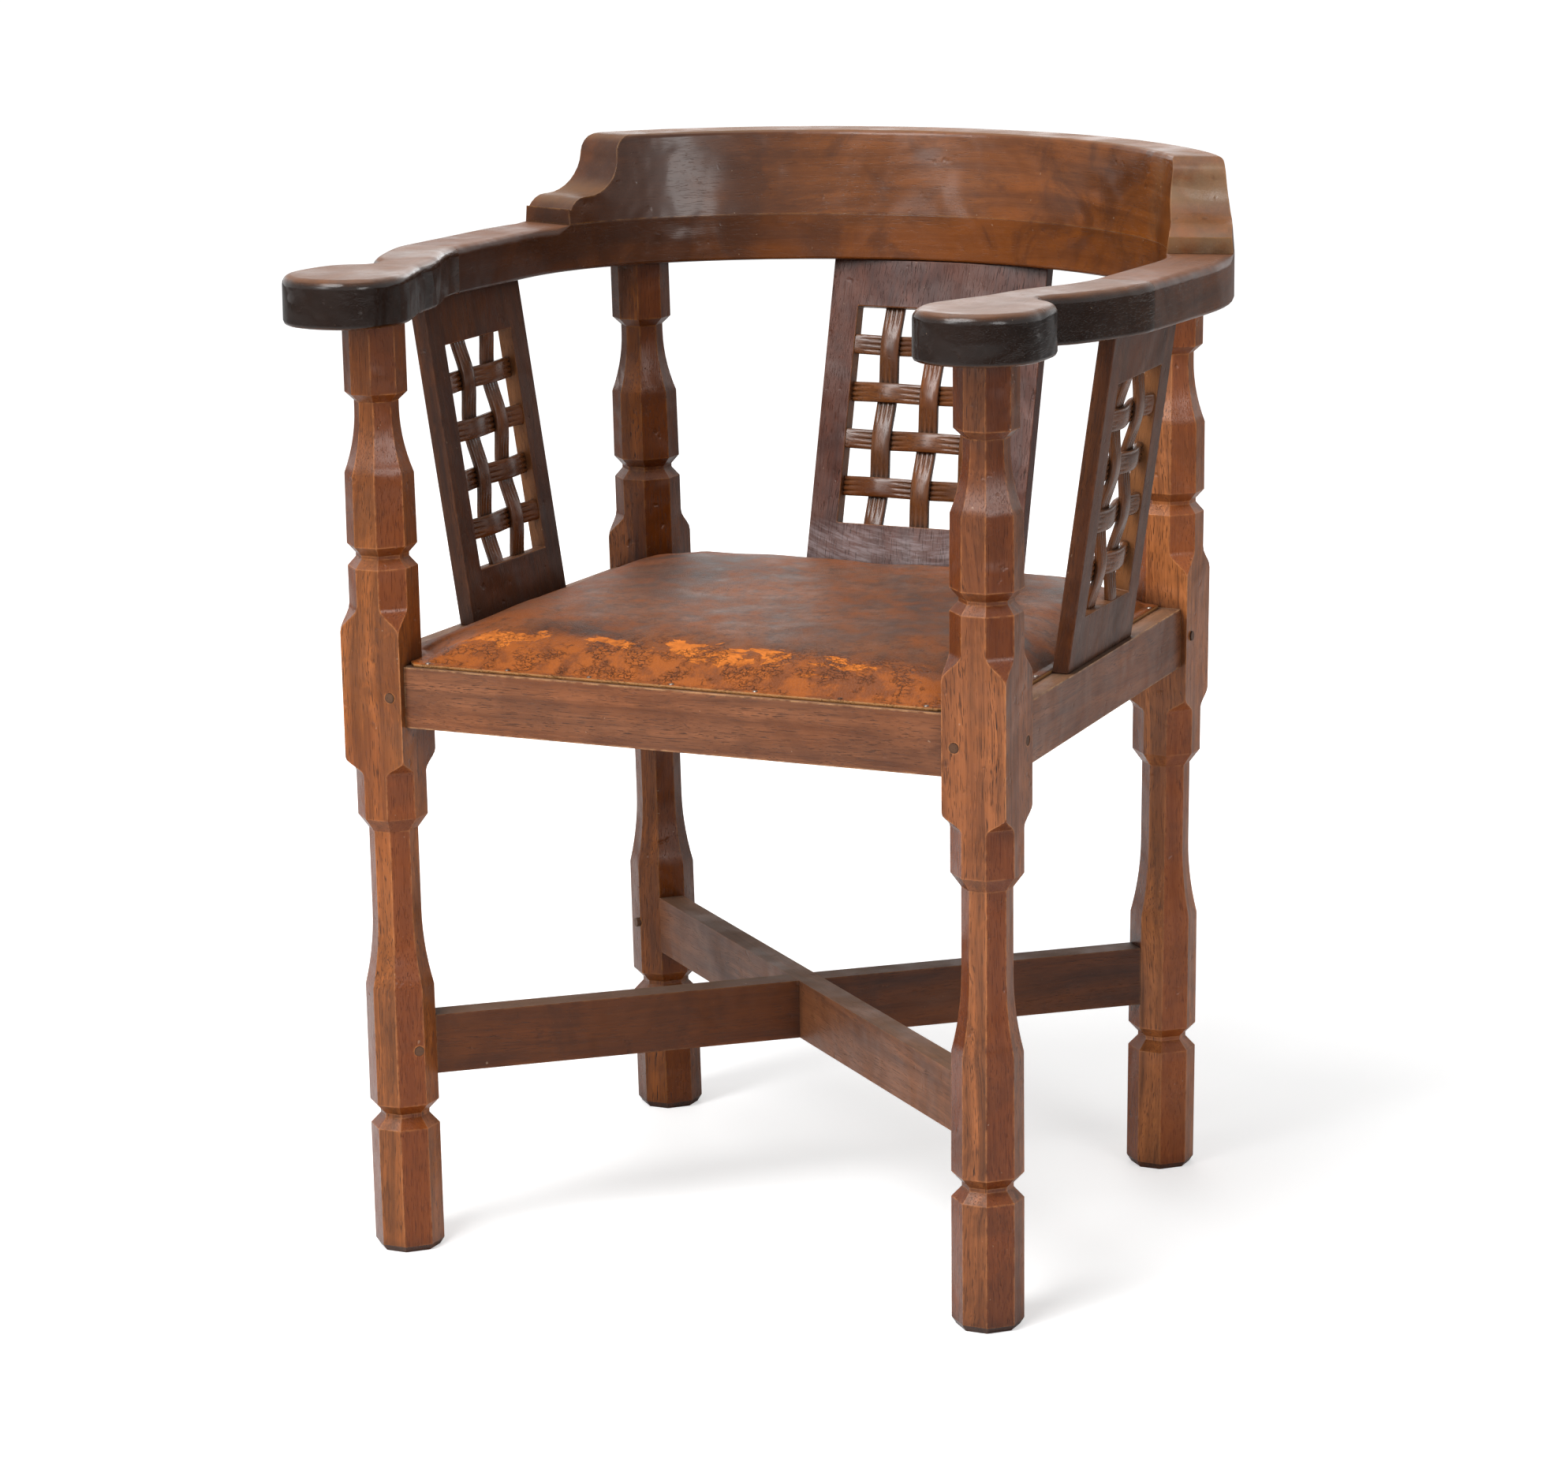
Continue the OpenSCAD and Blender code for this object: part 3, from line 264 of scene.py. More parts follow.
oakFinishes = {
    **legFinishes, **panelFinishes,
    "stretcherOak": stretcherOak,
    "upperOak": dict(stretcherOak, dark="46281a", light="8c5a3c", warm="7c4824"),
    "railOak": dict(plainOak, dark="4a2817", light="925b3a", warm="8a481a", warmth=0.35, pores=0.8,
                    flecks=0.12, contrast=1.1, edge="d2a070", edgeAmount=0.8, top="8a6c50", dustAndSheenAmount=0.9,
                    rough=0.4, sheen=0.1, relief=0.0004),
    "armOak": dict(plainOak, dark="301a0d", light="6a3f20", warm="6e3c16", warmth=0.3, side=0.95, cloud=0.35,
                   pores=0.5, contrast=0.8, edge="7f5434", edgeAmount=0.25, top="785238", dustAndSheenAmount=0.75,
                   rough=0.2, sheen=0.14, relief=0.00025),
    "bowOak": dict(plainOak, dark="3a1c0a", light="824819", warm="83430e", warmth=0.45, side=0.95, cloud=0.5,
                   pores=0.4, contrast=0.7, edge="7f5430", edgeAmount=0.2, top="74503a", dustAndSheenAmount=0.75,
                   rough=0.32, sheen=0.25),
    "crestOak": dict(plainOak, dark="3a1c0a", light="844a1c", warm="8c480c", warmth=0.6, cloud=0.5, pores=0.4,
                     flecks=0.15, contrast=0.7, edge="a0703f", edgeAmount=0.45, top="80603f", dustAndSheenAmount=0.6,
                     rough=0.31, sheen=0.18),
    "weaveOak": dict(plainOak, dark="361a0b", light="7c481e", warm="80400e", warmth=0.45, cloud=0.2,
                     pores=0.7, contrast=0.9, edge="8a6040", top="5f4630", rough=0.27, sheen=0.3,
                     relief=0.0003),
    "pegOak": dict(plainOak, dark="40281a", light="66452e", warm="5a3420", warmth=0.2, cloud=0.0, pores=0.6,
                   flecks=0.0, contrast=0.6, edge="24140c", edgeAmount=0.5, top="4a3020", dustAndSheenAmount=0.0,
                   rough=0.55),
    "innerOak": dict(plainOak, dark="8a6238", light="b98d58", warm="b07838", warmth=0.2, cloud=0.0, pores=0.5,
                     flecks=0.3, contrast=0.7, edge="c9a06c", edgeAmount=0.2, top="b98d58", dustAndSheenAmount=0.0,
                     rough=0.6),
}
# How a finish changes along the chair: darker sideways faces, painted shade on the left ends of the crest
# and bow, painted sheen on the crest's right end, painted shadow of the arms on the tops of the legs, and cut
# wood and painted sheen at the foot of a panel.
# Each pair holds the two places between which a change runs; rightFacing is a pair of a normal's values.
change = {"side": "170c07", "sideDepth": (-0.20, 0.14), "leftEndShade": "2e1609", "leftAcross": (-0.06, -0.22),
          "leftShare": 0.8, "rightEndSheen": "7e6448", "rightAcross": (0.195, 0.210),
          "rightFacing": (-0.55, -0.85), "legTopShadow": 0.38, "legShadowLevel": (0.36, 0.62), "cut": "84522a",
          "streakSheen": "8a7a7a", "streaks": (55, 30, 400), "arch": 2.2, "footLevel": (0.484, 0.466),
          "footDepth": (0.14, 0.16)}
# Marks that all oak carries: the crevice darkening is painted shade, the top colour dust with a painted sheen
marks = {"arris": 0.0022, "creviceShade": "1a0f0a", "creviceShadeShare": 0.8, "dentShare": 0.35, "dentDepth": 1.2,
         "speck": "b59a80", "speckShare": 0.35, "warmShare": 0.75, "dustAndSheenShare": 0.45, "roughSpread": 0.25,
         "facetPolish": 0.1, "unevenScale": 19, "unevenDepth": 0.006}


def panelMarks(tree, colour, across, depth, level):
    # cut wood round the window; at the foot of the back panel, grain that runs across it, with a greyish
    # sheen painted into its colour
    cut = addNode(tree, "ShaderNodeAttribute", attribute_name="cut").outputs["Fac"]
    colour = tint(tree, colour, cut, 1.0, change["cut"])
    arch = product(tree, across, across, change["arch"])
    bent = addNode(tree, "ShaderNodeCombineXYZ",
                   {0: across, 1: depth, 2: calc(tree, "SUBTRACT", level, arch)}).outputs[0]
    streaks = noise(tree, stretched(tree, bent, change["streaks"]), 1.0, 5, 0.7)
    foot = product(tree, ramp(tree, level, *change["footLevel"]), ramp(tree, depth, *change["footDepth"]))
    return tint(tree, colour, foot, ramp(tree, streaks, 0.40, 0.66, 0.15, 0.8), change["streakSheen"])


def changeAlong(tree, name, finish, colour, room, hand, warmCloud):
    # what only one kind of piece has, from its place on the chair
    across, depth, level = splitVector(tree, room)
    # faces that look sideways are darkest at the paddles and fade towards the back
    fade = ramp(tree, depth, *change["sideDepth"], finish["side"], 0.0)
    colour = tint(tree, colour, hand["Side"], fade, change["side"])
    # the left ends of the crest and bow, which face away from the key lamp, are painted darker: painted shade
    if name in ("crestOak", "bowOak"):
        leftEndShade = product(tree, ramp(tree, across, *change["leftAcross"]),
                          ramp(tree, warmCloud, 1.0, 0.2, 0.7, 1.0))
        colour = tint(tree, colour, leftEndShade, change["leftShare"], change["leftEndShade"])
    if name == "crestOak":
        # the crest's right end is painted paler in patches of the worn noise: a painted sheen, not wear
        facing = splitVector(tree, addNode(tree, "ShaderNodeNewGeometry").outputs["Normal"])[1]
        worn = ramp(tree, noise(tree, room, 34, 5, 0.6), 0.38, 0.60, 0.15, 0.6)
        rightEndSheen = product(tree, ramp(tree, across, *change["rightAcross"]),
                           ramp(tree, facing, *change["rightFacing"]))
        colour = tint(tree, colour, rightEndSheen, worn, change["rightEndSheen"])
    # the legs darken towards their tops: painted shadow of the arms
    if name in legFinishes:
        shade = ramp(tree, level, *change["legShadowLevel"], 0.0, change["legTopShadow"])
        colour = tint(tree, colour, shade, ramp(tree, hand["Cloud"], 0.3, 0.6, 0.6, 1.0), finish["dark"])
    if name in panelFinishes:
        colour = panelMarks(tree, colour, across, depth, level)
    return colour


def setOakSurface(tree, shader, finish, room, grain, hand):
    # roughness, coat and relief. The cloud is 0.5 on average, so it roughens as much as it polishes.
    spread = marks["roughSpread"]
    rough = weighted(tree, finish["rough"] - 0.5 * spread, (hand["Cloud"], spread), (hand["Up"], spread),
                     (hand["Facet"], -marks["facetPolish"]))
    tree.links.new(rough, shader.inputs["Roughness"])
    tree.links.new(product(tree, hand["Side"], finish["sheen"]), shader.inputs["Coat Weight"])
    # broad unevenness of hand-worked faces lies under the grain's relief
    broad = addNode(tree, "ShaderNodeBump", {"Height": noise(tree, room, marks["unevenScale"], 2, 0.4, 0.3),
                                             "Distance": marks["unevenDepth"]})
    height = weighted(tree, grain["Height"], (hand["Dents"], -marks["dentDepth"]))
    bump = addNode(tree, "ShaderNodeBump", {"Height": height, "Distance": finish["relief"], "Strength": 1.0,
                                            "Normal": broad.outputs[0]})
    tree.links.new(bump.outputs[0], shader.inputs["Normal"])


def makeOak(name, finish):
    material, tree, shader = newMaterial(name, IOR=1.36, Coat_Roughness=0.2)
    place = addNode(tree, "ShaderNodeAttribute", attribute_name="grain").outputs["Vector"]
    room = addNode(tree, "ShaderNodeTexCoord").outputs["Object"]
    grain = useGroup(tree, oakGrain, {"Place": place, "Dark": fromHex(finish["dark"]),
                                      "Light": fromHex(finish["light"]), "Pores": finish["pores"],
                                      "Flecks": finish["flecks"], "Contrast": finish["contrast"]})
    wearLightAndShade = useGroup(tree, edgeWearLightAndShade, {"Radius": marks["arris"], "Place": room})
    hand = useGroup(tree, handling, {"Place": room})
    warmCloud = ramp(tree, noise(tree, stretched(tree, place, (5, 22, 22), (3, 5, 2)), 1.0, 3), 0.42, 0.66)
    warmMask = calc(tree, "MAXIMUM", product(tree, warmCloud, finish["warmth"]),
                    product(tree, hand["Facet"], finish["facet"]))
    warmed = blendColour(tree, marks["warmShare"], grain["Color"], fromHex(finish["warm"]))
    colour = blendColour(tree, warmMask, grain["Color"], warmed)
    patches = ramp(tree, noise(tree, room, 17, 6, 0.62, 0.8), 0.47, 0.62)
    colour = tint(tree, colour, patches, finish["cloud"], finish["dark"])
    colour = changeAlong(tree, name, finish, colour, room, hand, warmCloud)
    # faces that look up take a paler colour: dust, with a painted sheen
    dustAndSheen = blendColour(tree, marks["dustAndSheenShare"], fromHex(finish["top"]), grain["Color"])
    colour = blendColour(tree, product(tree, hand["Up"], finish["dustAndSheenAmount"]), colour, dustAndSheen)
    # arrises take the edge colour: wear, and on the rails and legs, where that colour is pale, a painted
    # highlight
    colour = tint(tree, colour, wearLightAndShade["Edge"], finish["edgeAmount"], finish["edge"])
    # crevices darkened by the ambient occlusion mask: painted shade
    colour = tint(tree, colour, wearLightAndShade["CreviceShade"], marks["creviceShadeShare"], marks["creviceShade"])
    colour = tint(tree, colour, hand["Dents"], marks["dentShare"], finish["dark"])
    colour = tint(tree, colour, hand["Specks"], marks["speckShare"], marks["speck"])
    tree.links.new(colour, shader.inputs["Base Color"])
    setOakSurface(tree, shader, finish, room, grain, hand)
    return material


oaks = {name: makeOak(name, finish) for name, finish in oakFinishes.items()}
print("oak finishes made:", len(oaks))

# Arrises: bevel width of each kind of piece in metres, and the angles from which an edge is rounded or, where
# the width is 0, kept sharp. merge and flat: distance and angle that clean a CAD mesh.
rounding = {"leg": 0.0009, "rail": 0.0012, "stretcher": 0.001, "arm": 0.0, "bow": 0.0008, "crest": 0.0011,
            "panel": 0.0008, "fromAngle": 24, "sharpAngle": 38, "evenness": 60, "merge": 2e-6, "flat": 0.5}


def pieceFromMesh(name, mesh, material):
    piece = bpy.data.objects.new(name, mesh)
    bpy.context.scene.collection.objects.link(piece)
    mesh.materials.clear()
    mesh.materials.append(material)
    return piece


def standIn(piece, nodeName):
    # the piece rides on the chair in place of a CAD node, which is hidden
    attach(piece, "root")
    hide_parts(nodeName)


def smooth(mesh):
    mesh.polygons.foreach_set("use_smooth", np.ones(len(mesh.polygons), bool))


def finishEdges(piece, width, segments=2):
    # rounds the arrises and gives normals that keep flats flat
    mesh = piece.data
    smooth(mesh)
    if width == 0:
        mesh.set_sharp_from_angle(angle=math.radians(rounding["sharpAngle"]))
    else:
        bevel = piece.modifiers.new("round", "BEVEL")
        bevel.width, bevel.segments, bevel.limit_method = width, segments, "ANGLE"
        bevel.angle_limit, bevel.use_clamp_overlap = math.radians(rounding["fromAngle"]), True
        bevel.miter_outer = "MITER_ARC"
    even = piece.modifiers.new("even", "WEIGHTED_NORMAL")
    even.weight, even.keep_sharp = rounding["evenness"], True
    bpy.context.view_layer.update()
    done = bpy.data.meshes.new_from_object(piece.evaluated_get(bpy.context.evaluated_depsgraph_get()))
    piece.modifiers.clear()
    piece.data = done
    done.name = piece.name


def workedCopy(nodeName, name, material, width):
    # a merged copy of a CAD node with rounded arrises
    work = bmesh.new()
    work.from_mesh(cadNodes[nodeName].data)
    bmesh.ops.remove_doubles(work, verts=work.verts, dist=rounding["merge"])
    bmesh.ops.dissolve_limit(work, angle_limit=math.radians(rounding["flat"]), verts=work.verts,
                             edges=work.edges)
    clean = bpy.data.meshes.new(name)
    work.to_mesh(clean)
    work.free()
    piece = pieceFromMesh(name, clean, material)
    finishEdges(piece, width)
    standIn(piece, nodeName)
    return piece


def arrayOf(items, field):
    values = np.empty(len(items) * 3)
    items.foreach_get(field, values)
    return values.reshape(-1, 3)


def setGrain(piece, grain):
    layer = piece.data.attributes.new("grain", "FLOAT_VECTOR", "POINT")
    layer.data.foreach_set("vector", np.ascontiguousarray(grain, dtype=np.float32).ravel())


# Grain along a straight direction: X of the result runs along it, and each piece starts elsewhere in the log
def straightGrain(points, direction, start):
    along = np.array(direction, float) / np.linalg.norm(direction)
    side = np.cross(along, [0.31, 0.22, 0.92] if abs(along[2]) < 0.8 else [0.92, 0.31, 0.22])
    side /= np.linalg.norm(side)
    third = np.cross(along, side)
    return np.stack([points @ along, points @ side, points @ third], axis=1) + start


# Grain round the horseshoe: X is the way along its middle line, Y the distance from it outwards, Z up.
# The line is straight along the arms, turns a corner of one radius, then the back with a larger one.
def bowGrain(points, start):
    yaw = math.radians(chair["bowYaw"])
    x = points[:, 0] - chair["planX"] - chair["bowShift"]
    y = points[:, 1] - chair["planY"]
    x, y = x * math.cos(yaw) - y * math.sin(yaw), x * math.sin(yaw) + y * math.cos(yaw)
    side, x = np.where(x < 0, -1.0, 1.0), np.abs(x)
    turn, r = math.radians(chair["bowTurn"]), chair["cornerR"]
    backR = r + chair["cornerX"] / math.cos(turn)
    backY = chair["cornerY"] - (backR - r) * math.sin(turn)
    corner = np.arctan2(y - chair["cornerY"], x - chair["cornerX"])
    back = np.arctan2(y - backY, x)
    straight, onCorner = y < chair["cornerY"], corner < turn
    along = np.where(straight, y - chair["cornerY"],
                     np.where(onCorner, corner * r, turn * r + (back - turn) * backR))
    out = np.where(straight, x - chair["cornerX"] - r,
                   np.where(onCorner, np.hypot(x - chair["cornerX"], y - chair["cornerY"]) - r,
                            np.hypot(x, y - backY) - backR))
    half = turn * r + (math.pi / 2 - turn) * backR
    return np.stack([side * (half - along), out, points[:, 2]], axis=1) + start


# CAD node, name, finish, kind of arris, and direction of the grain: None where it follows the horseshoe
diagonal = [(chair["frontSpread"] + chair["rearSpread"]) / 2, chair["legDepth"], 0]
workedPieces = [
    ("front_left_leg", "frontLeftLeg", "frontLeftOak", "leg", (0.01, 0, 1)),
    ("front_right_leg", "frontRightLeg", "legOak", "leg", (-0.01, 0, 1)),
    ("rear_right_leg", "rearRightLeg", "rearRightLitOak", "leg", (-0.02, 0, 1)),
    ("rear_left_leg", "rearLeftLeg", "rearLeftShadedOak", "leg", (0.02, 0, 1)),
    ("front_seat_rail", "frontRail", "railOak", "rail", (1, 0, 0.01)),
    ("rear_seat_rail", "rearRail", "railOak", "rail", (1, 0, -0.01)),
    ("right_seat_rail", "rightRail", "railOak", "rail", (-0.04, 1, 0)),
    ("left_seat_rail", "leftRail", "railOak", "rail", (0.04, 1, 0)),
    ("lower_stretcher", "lowerStretcher", "stretcherOak", "stretcher", diagonal),
    ("upper_stretcher", "upperStretcher", "upperOak", "stretcher", [-diagonal[0], diagonal[1], 0]),
    ("right_arm", "rightArm", "armOak", "arm", (0.12, 1, 0)),
    ("left_arm", "leftArm", "armOak", "arm", (-0.12, 1, 0)),
    ("back_bow", "backBow", "bowOak", "bow", None),
    ("crest_rail", "crestRail", "crestOak", "crest", None),
    ("rail_pegs", "railPegs", "pegOak", "arm", (0, 1, 0)),
    ("stretcher_pegs", "stretcherPegs", "pegOak", "arm", (1, 1, 0)),
    ("crest_dowels", "crestDowels", "innerOak", "arm", (0, 0, 1)),
    ("splice_tongues", "spliceTongues", "innerOak", "arm", (0, 1, 0)),
]
logStep = np.array([0.83, 0.37, 0.59]) * 1.37        # from one piece's place in the log to the next
for index, (nodeName, name, oak, kind, direction) in enumerate(workedPieces):
    piece = workedCopy(nodeName, name, oaks[oak], rounding[kind])
    points, start = arrayOf(piece.data.vertices, "co"), index * logStep
    setGrain(piece, bowGrain(points, start) if direction is None else straightGrain(points, direction, start))
print("oak pieces worked:", len(workedPieces))

# Lattice panels: a plate with a window, and strips that weave over and under each other in it
lattice = {"t": 0.012, "inset": 0.004, "pitch": 0.0365, "stripW": 0.015, "stripT": 0.0056, "weave": 0.0023,
           "rows": 5, "foot": 0.037, "grooves": (-0.27, 0.0, 0.27), "grooveW": 0.045, "grooveD": 0.0011,
           "grooveStart": 1.2, "grooveFade": 0.75, "edgeDrop": 0.0009, "edgePower": 5, "crown": 0.0004,
           "into": 0.002, "perPitch": 18, "acrossPoints": 33}
panels = {
    "right_panel": {"name": "rightPanel", "oak": "sidePanelOak", "rail": 1, "w": 0.137, "lean": 8.5,
                    "shift": -0.001, "columns": 3, "turn": 1},
    "back_panel": {"name": "backPanel", "oak": "panelOak", "rail": 2, "w": 0.177, "lean": 15.4,
                   "shift": -0.0045, "columns": 4, "turn": 1},
    "left_panel": {"name": "leftPanel", "oak": "sidePanelOak", "rail": 3, "w": 0.137, "lean": 8.5,
                   "shift": 0.001, "columns": 3, "turn": -1},
}


# Matrix from a panel's own frame, X along its rail, Y inwards, Z up its slope, to the chair
def panelFrame(panel):
    a, b = legPlaces[panel["rail"]], legPlaces[(panel["rail"] + 1) % 4]
    heading = math.atan2(*(b - a)[::-1])
    middle = (a + b) / 2 + [chair["planX"], chair["planY"]]
    face = chair["railOut"] - lattice["inset"]
    return (Matrix.Translation((middle[0], middle[1], 0)) @ Matrix.Rotation(heading, 4, "Z")
            @ Matrix.Translation((panel["shift"], -face, chair["railTop"]))
            @ Matrix.Rotation(math.radians(panel["lean"]), 4, "X"))


def carried(points, matrix):
    return points @ matrix[:3, :3].T + matrix[:3, 3]


# Closed band along a strip. Across it the faces are flat with rounded sides and three grooves, deepest where
# the strip dips under its neighbours and gone where it rides over them; along it the band is a cosine wave.
def weaveStrip(length, side):
    into, pitch = lattice["into"], lattice["pitch"]
    s = np.linspace(-into, length + into, int((length + 2 * into) / pitch * lattice["perPitch"]))
    u = np.linspace(-0.5, 0.5, lattice["acrossPoints"])
    wave = side * np.cos(np.pi * (s - (pitch - lattice["stripW"] / 2)) / pitch)[:, None]
    cuts = sum(np.exp(-(((u - g) / lattice["grooveW"]) ** 2)) for g in lattice["grooves"])
    drop = lattice["edgeDrop"] * np.abs(2 * u) ** lattice["edgePower"]
    along = np.broadcast_to(s[:, None], (len(s), len(u)))
    x = np.broadcast_to(u * lattice["stripW"], along.shape)
    faces = []
    for facing in (1, -1):
        shown = np.clip(lattice["grooveStart"] - lattice["grooveFade"] * (1 + facing * wave), 0, 1)
        carved = shown * cuts * lattice["grooveD"]
        crown = lattice["crown"] * np.clip(facing * wave, 0, 1) * (1 - (2 * u) ** 2)
        level = (lattice["t"] / 2 + lattice["weave"] * wave
                 + facing * (lattice["stripT"] / 2 - drop - carved + crown))
        faces.append(np.stack([along, level, x], axis=-1))
    return np.concatenate([faces[0], faces[1][:, ::-1]], axis=1)


def tubeFaces(m, n, start=0):
    # quads of a closed tube of m rings with n points each, and its two end faces
    k = np.arange(n)
    rows, after = np.arange(m - 1)[:, None] * n + start, (k + 1) % n
    quads = np.stack([rows + k, rows + after, rows + n + after, rows + n + k], axis=-1).reshape(-1, 4)
    return quads.tolist() + [(start + k[::-1]).tolist(), (start + (m - 1) * n + k).tolist()]


def outwards(mesh):
    work = bmesh.new()
    work.from_mesh(mesh)
    bmesh.ops.recalc_face_normals(work, faces=work.faces)
    work.to_mesh(mesh)
    work.free()


# Plate of a panel: eight corners outside and eight round the window. It ends on the rail's top and on the
# sloping underside of the arms, a plane z = base + tilt * y on the chair.
def makePlate(panel, place, openW, openH, foot):
    w, t = panel["w"] / 2, lattice["t"]
    slope = -math.tan(math.radians(chair["armSlope"]))

    def height(x, y, base, tilt):
        # where the line through x, y up the panel meets that plane
        low, rise = place @ Vector((x, y, 0)), place.to_3x3() @ Vector((0, 0, 1))
        return (base + tilt * (low.y - chair["planY"]) - low.z) / (rise.z - tilt * rise.y)

    corners, faces = [], []
    for y in (0, t):
        corners += [(x, y, height(x, y, chair["railTop"], 0)) for x in (-w, w)]
        corners += [(x, y, height(x, y, chair["armZ"], slope)) for x in (w, -w)]
        corners += [(-openW / 2, y, foot), (openW / 2, y, foot), (openW / 2, y, foot + openH),
                    (-openW / 2, y, foot + openH)]
    for k in range(4):
        n = (k + 1) % 4
        faces += [(k, n, 4 + n, 4 + k), (8 + k, 12 + k, 12 + n, 8 + n), (k, 8 + k, 8 + n, n),
                  (4 + k, 4 + n, 12 + n, 12 + k)]
    mesh = bpy.data.meshes.new(panel["name"])
    mesh.from_pydata([place @ Vector(c) for c in corners], [], faces)
    outwards(mesh)
    plate = pieceFromMesh(panel["name"], mesh, oaks[panel["oak"]])
    # faces round the window carry a mask of cut wood
    back, margin = np.linalg.inv(np.array(place)), 0.001
    centres, normals = carried(arrayOf(mesh.polygons, "center"), back), arrayOf(mesh.polygons, "normal")
    cut = np.abs(normals @ back[1, :3]) < 0.3
    cut &= np.abs(centres[:, 0]) < openW / 2 + margin
    cut &= (centres[:, 2] > foot - margin) & (centres[:, 2] < foot + openH + margin)
    mesh.attributes.new("cut", "FLOAT", "FACE").data.foreach_set("value", cut.astype(np.float32))
    finishEdges(plate, rounding["panel"], 3)
    return plate


# Strips of a panel, in one mesh; the grain of each runs along it
def makeWeave(panel, place, openW, openH, foot, grainStart):
    pitch, stripW, name = lattice["pitch"], lattice["stripW"], panel["name"] + "Weave"
    strips = [(openH, c, True) for c in range(1, panel["columns"])]
    strips += [(openW, r, False) for r in range(1, lattice["rows"])]
    points, faces, grains, count = [], [], [], 0
    for n, (length, k, upright) in enumerate(strips):
        ring = weaveStrip(length, panel["turn"] * (1 if (k % 2 == 0) == upright else -1))
        faces += tubeFaces(*ring.shape[:2], count)
        count += ring.shape[0] * ring.shape[1]
        offset = k * pitch - stripW / 2
        if upright:
            x, z = offset - openW / 2 - ring[..., 2], foot + ring[..., 0]
        else:
            x, z = ring[..., 0] - openW / 2, foot + offset + ring[..., 2]
        points.append(np.stack([x, ring[..., 1], z], axis=-1).reshape(-1, 3))
        grains.append(points[-1][:, [2, 0, 1] if upright else [0, 2, 1]] + 0.31 * n + grainStart)
    mesh = bpy.data.meshes.new(name)
    mesh.from_pydata(carried(np.vstack(points), np.array(place)).tolist(), [], faces)
    outwards(mesh)
    smooth(mesh)
    weave = pieceFromMesh(name, mesh, oaks["weaveOak"])
    setGrain(weave, np.vstack(grains))
    return weave


def makePanel(nodeName, panel, index):
    place = panelFrame(panel)
    openW = panel["columns"] * lattice["pitch"] - lattice["stripW"]
    openH = lattice["rows"] * lattice["pitch"] - lattice["stripW"]
    foot = lattice["foot"] / math.cos(math.radians(panel["lean"]))
    plate = makePlate(panel, place, openW, openH, foot)
    flat = carried(arrayOf(plate.data.vertices, "co"), np.linalg.inv(np.array(place)))
    setGrain(plate, flat[:, [2, 0, 1]] + index * 0.77)
    weave = makeWeave(panel, place, openW, openH, foot, index)
    for piece in (plate, weave):
        standIn(piece, nodeName)
    return len(weave.data.polygons)


weaveFaces = [makePanel(nodeName, panel, index) for index, (nodeName, panel) in enumerate(panels.items())]
print("lattice panels made:", sum(weaveFaces), "faces of weave")

# Seat: leather drawn over a stuffing, inside the outline that the legs and the panels leave on the rails.
# hollow: place from front to back, widths and depth of the pressed middle. pulls: heights of two patterns.
seat = {"inset": 0.004, "gap": 0.0005, "bend": 0.004, "frontBend": 0.006, "leather": 0.0025, "crown": 0.024,
        "roll": 8, "flange": 0.03, "lift": 0.003, "step": 0.006, "rings": 56, "crowding": 1.6, "reach": 0.985,
        "roundBy": 0.35, "squareness": 5, "hollow": (0.01, 0.11, 0.10, 0.0035), "pulls": (0.0009, 0.0005),
        "fillFrom": 0.012, "fillDrop": 0.0005, "fillLeast": 0.0008, "skin": 0.00005, "base": 0.0003}


# Half outline of the leather: front edge, notch round a front leg, side, notch round a rear leg, back edge.
# The other half is its mirror image.
def seatOutline(step):
    w, c = chair["legW"] / 2 + seat["gap"], chair["legW"] * chair["facet"]
    b, fb = seat["bend"], seat["frontBend"]
    edge = chair["railOut"] - lattice["inset"] - lattice["t"] - seat["gap"]

    def sideX(y):
        return halfFront + (halfRear - halfFront) * (y + halfDepth) / (2 * halfDepth) + edge

    front, back = -halfDepth - chair["railOut"] + seat["inset"], halfDepth + edge
    f, r = -halfDepth + w, halfDepth - w
    half = np.array([[0, front], [halfFront - w - fb, front], [halfFront - w, front + fb],
                     [halfFront - w, f - c], [halfFront - w + c, f], [sideX(f) - b, f],
                     [sideX(f + b), f + b], [sideX(r - b), r - b], [sideX(r) - b, r],
                     [halfRear - w + c, r], [halfRear - w, r + c], [halfRear - w, back - b],
                     [halfRear - w - b, back], [0, back]])
    pieces = []
    for start, end in zip(half[:-1], half[1:]):
        n = max(1, math.ceil(np.linalg.norm(end - start) / step))
        pieces.append(start + (end - start) * (np.arange(n) / n)[:, None])
    right = np.vstack(pieces + [half[-1:]])
    return np.vstack([right, right[-2:0:-1] * [-1, 1]]), sideX(0), back


